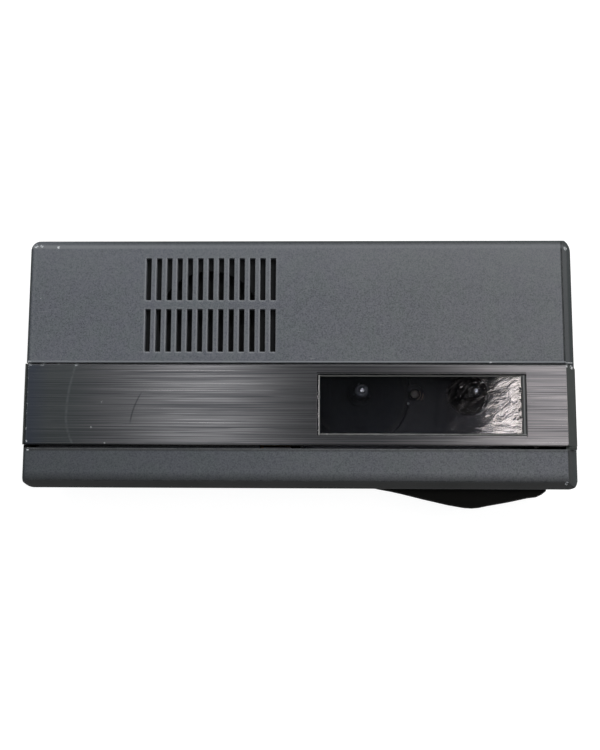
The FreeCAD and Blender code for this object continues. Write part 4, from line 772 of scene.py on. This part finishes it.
# worn crescents round the centre roller
for name, radius, start, sweep in (("roller_wear_inner", 1.42, -1.15, 1.75),
                                   ("roller_wear_outer", 2.02, -0.75, 0.85)):
    section = [(radius - 0.10, 0.0), (radius + 0.10, 0.0), (radius + 0.10, 0.06), (radius - 0.10, 0.06)]
    crescent = lathe(section, (*ROLLER_AXIS, ROLLER_SEAT_Z), 24, start=start, sweep=sweep)
    piece(name, "case", crescent, "worn")

# painted highlight: a pale crescent on the lower right edge of the small well
section = [(4.95, -0.03), (4.97, 0.03), (5.09, 0.05), (5.16, 0.02), (5.16, -0.03)]
well_edge = lathe(section, (*SUPPLY_AXIS, BAY_FLOOR_Z), 24, start=-1.22, sweep=0.85)
piece("well_glint", "case", well_edge, "glint_edge")

# round dished cap on the record button
low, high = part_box("record_button")
middle = ((low[0] + high[0]) / 2 / MM, low[1] / MM, BUTTON_Z)
section = [(2.3, 0.5), (2.3, -0.02), (2.22, -0.07), (1.9, -0.08), (1.5, -0.05), (0.9, -0.02), (0.1, -0.015)]
cap = lathe(section, middle, 40, axis="Y", closed=False)
piece("record_cap", "button", cap, "red", True)

# nickel rims in the mouths of the three sockets
for node, inner, outer in (("earphone_jack", 1.85, 2.35), ("microphone_jack", 1.85, 2.35),
                           ("power_jack", 2.65, 3.15)):
    low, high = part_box(node)
    section = [(inner, -0.35), (inner, 0.10), (inner + 0.12, 0.20),
               (outer - 0.15, 0.20), (outer, 0.06), (outer, -0.35)]
    mouth = (high[0] / MM - 0.15, (low[1] + high[1]) / 2 / MM, SOCKET_Z)
    piece(node + "_rim", "case", lathe(section, mouth, 40, axis="X"), "nickel")


# ---------------------------------------------------------------- camera and light

# fitted to the outline in the photograph
EYE = (3.99, -23.84, 210.9)
AIM = (0.07, -2.83, 26.0)
ROLL = -0.004
LENS = 40.33
SENSOR_WIDTH, SENSOR_HEIGHT = 28.8, 36

camera = bpy.data.objects.new("camera", bpy.data.cameras.new("camera"))
scene.collection.objects.link(camera)
eye = Vector(EYE) * MM
back = (eye - Vector(AIM) * MM).normalized()
up = Vector((math.sin(ROLL), math.cos(ROLL), 0))
right = up.cross(back).normalized()
up = back.cross(right)
camera.matrix_world = Matrix(((right.x, up.x, back.x, eye.x), (right.y, up.y, back.y, eye.y),
                              (right.z, up.z, back.z, eye.z), (0, 0, 0, 1)))
camera.data.sensor_fit = "VERTICAL"
camera.data.sensor_height = SENSOR_HEIGHT
camera.data.sensor_width = SENSOR_WIDTH
camera.data.lens = LENS
camera.data.clip_start = 5 * MM
scene.camera = camera


def panel(name, place, size, radiance, color, target):
    """Flat rectangular lamp of an even radiance, facing a target."""
    data = bpy.data.lights.new(name, "AREA")
    data.shape = "RECTANGLE"
    data.size = size[0] * MM
    data.size_y = size[1] * MM
    data.color = color
    data.energy = radiance * math.pi * (size[0] * MM) * (size[1] * MM)
    lamp = bpy.data.objects.new(name, data)
    scene.collection.objects.link(lamp)
    lamp.location = Vector(place) * MM
    lamp.rotation_euler = (Vector(target) * MM - lamp.location).to_track_quat("-Z", "Y").to_euler()
    return lamp


# the glare lamp is the one mirrored in the right end of the window; it stands askew
glare = panel("panel_glare", (216, 33, 600), (112, 112), 11.6, (1.0, 0.925, 0.90), (216, 33, 0))
glare.rotation_euler.rotate_axis("Z", math.radians(-16))
panel("panel_key", (270, 420, 480), (420, 340), 6.8, (1.0, 0.99, 0.98), (0, 0, 10))
panel("panel_left", (-99, 60, 600), (110, 192), 4.1, (1.0, 0.99, 0.98), (-99, 60, 0))
panel("panel_far", (-290, 60, 600), (160, 200), 0.6, (0.95, 0.98, 1.0), (-290, 60, 0))
panel("panel_back", (0, 420, 520), (900, 200), 1.5, (0.96, 0.98, 1.0), (0, 0, 0))

# a dim room overhead, a white surround towards the horizon
world = bpy.data.worlds.new("studio")
world.use_nodes = True
scene.world = world
sky = Tree(world.node_tree)
sky.tree.nodes.clear()
upward = sky.split(sky.node("ShaderNodeTexCoord").outputs["Generated"])["Z"]
horizon = sky.span(upward, 0.30, 0.62, 1.0, 0.0, "SMOOTHSTEP")
overhead = sky.span(upward, 0.84, 0.96, 0.20, 0.03, "SMOOTHSTEP")
room = sky.shader("ShaderNodeBackground", Color=(0.84, 0.93, 1.0, 1), Strength=overhead)
white = sky.shader("ShaderNodeBackground", Color=(1, 1, 1, 1), Strength=1.0)
surround = sky.blend(sky.times(sky.background_rays(), horizon), room, white)
sky.put(sky.node("ShaderNodeOutputWorld").inputs[0], surround)

# floor under the machine: white where it is seen, and it keeps the shadow
FLOOR_HALF = 1500 * MM
FLOOR_Z = -0.2 * MM
corners = [(-FLOOR_HALF, -FLOOR_HALF, 0), (FLOOR_HALF, -FLOOR_HALF, 0),
           (FLOOR_HALF, FLOOR_HALF, 0), (-FLOOR_HALF, FLOOR_HALF, 0)]
floor_mesh = bpy.data.meshes.new("floor")
floor_mesh.from_pydata(corners, [], [(0, 1, 2, 3)])
floor = bpy.data.objects.new("floor", floor_mesh)
scene.collection.objects.link(floor)
floor.location.z = FLOOR_Z
floor_paint = bpy.data.materials.new("floor")
floor_paint.use_nodes = True
cover = Tree(floor_paint.node_tree)
matt = cover.tree.nodes["Principled BSDF"]
matt.inputs["Base Color"].default_value = (0.24, 0.24, 0.24, 1)
matt.inputs["Roughness"].default_value = 0.9
matt.inputs["Specular IOR Level"].default_value = 0.0
nothing = cover.shader("ShaderNodeEmission", Strength=0.0)
glow = cover.shader("ShaderNodeEmission", Strength=0.94)
total = cover.node("ShaderNodeAddShader")
cover.put(total.inputs[0], matt.outputs[0])
cover.put(total.inputs[1], cover.blend(cover.background_rays(), nothing, glow))
cover.put(cover.tree.nodes["Material Output"].inputs["Surface"], total.outputs[0])
floor.data.materials.append(floor_paint)

bpy.context.scene.view_settings.view_transform = "Standard"
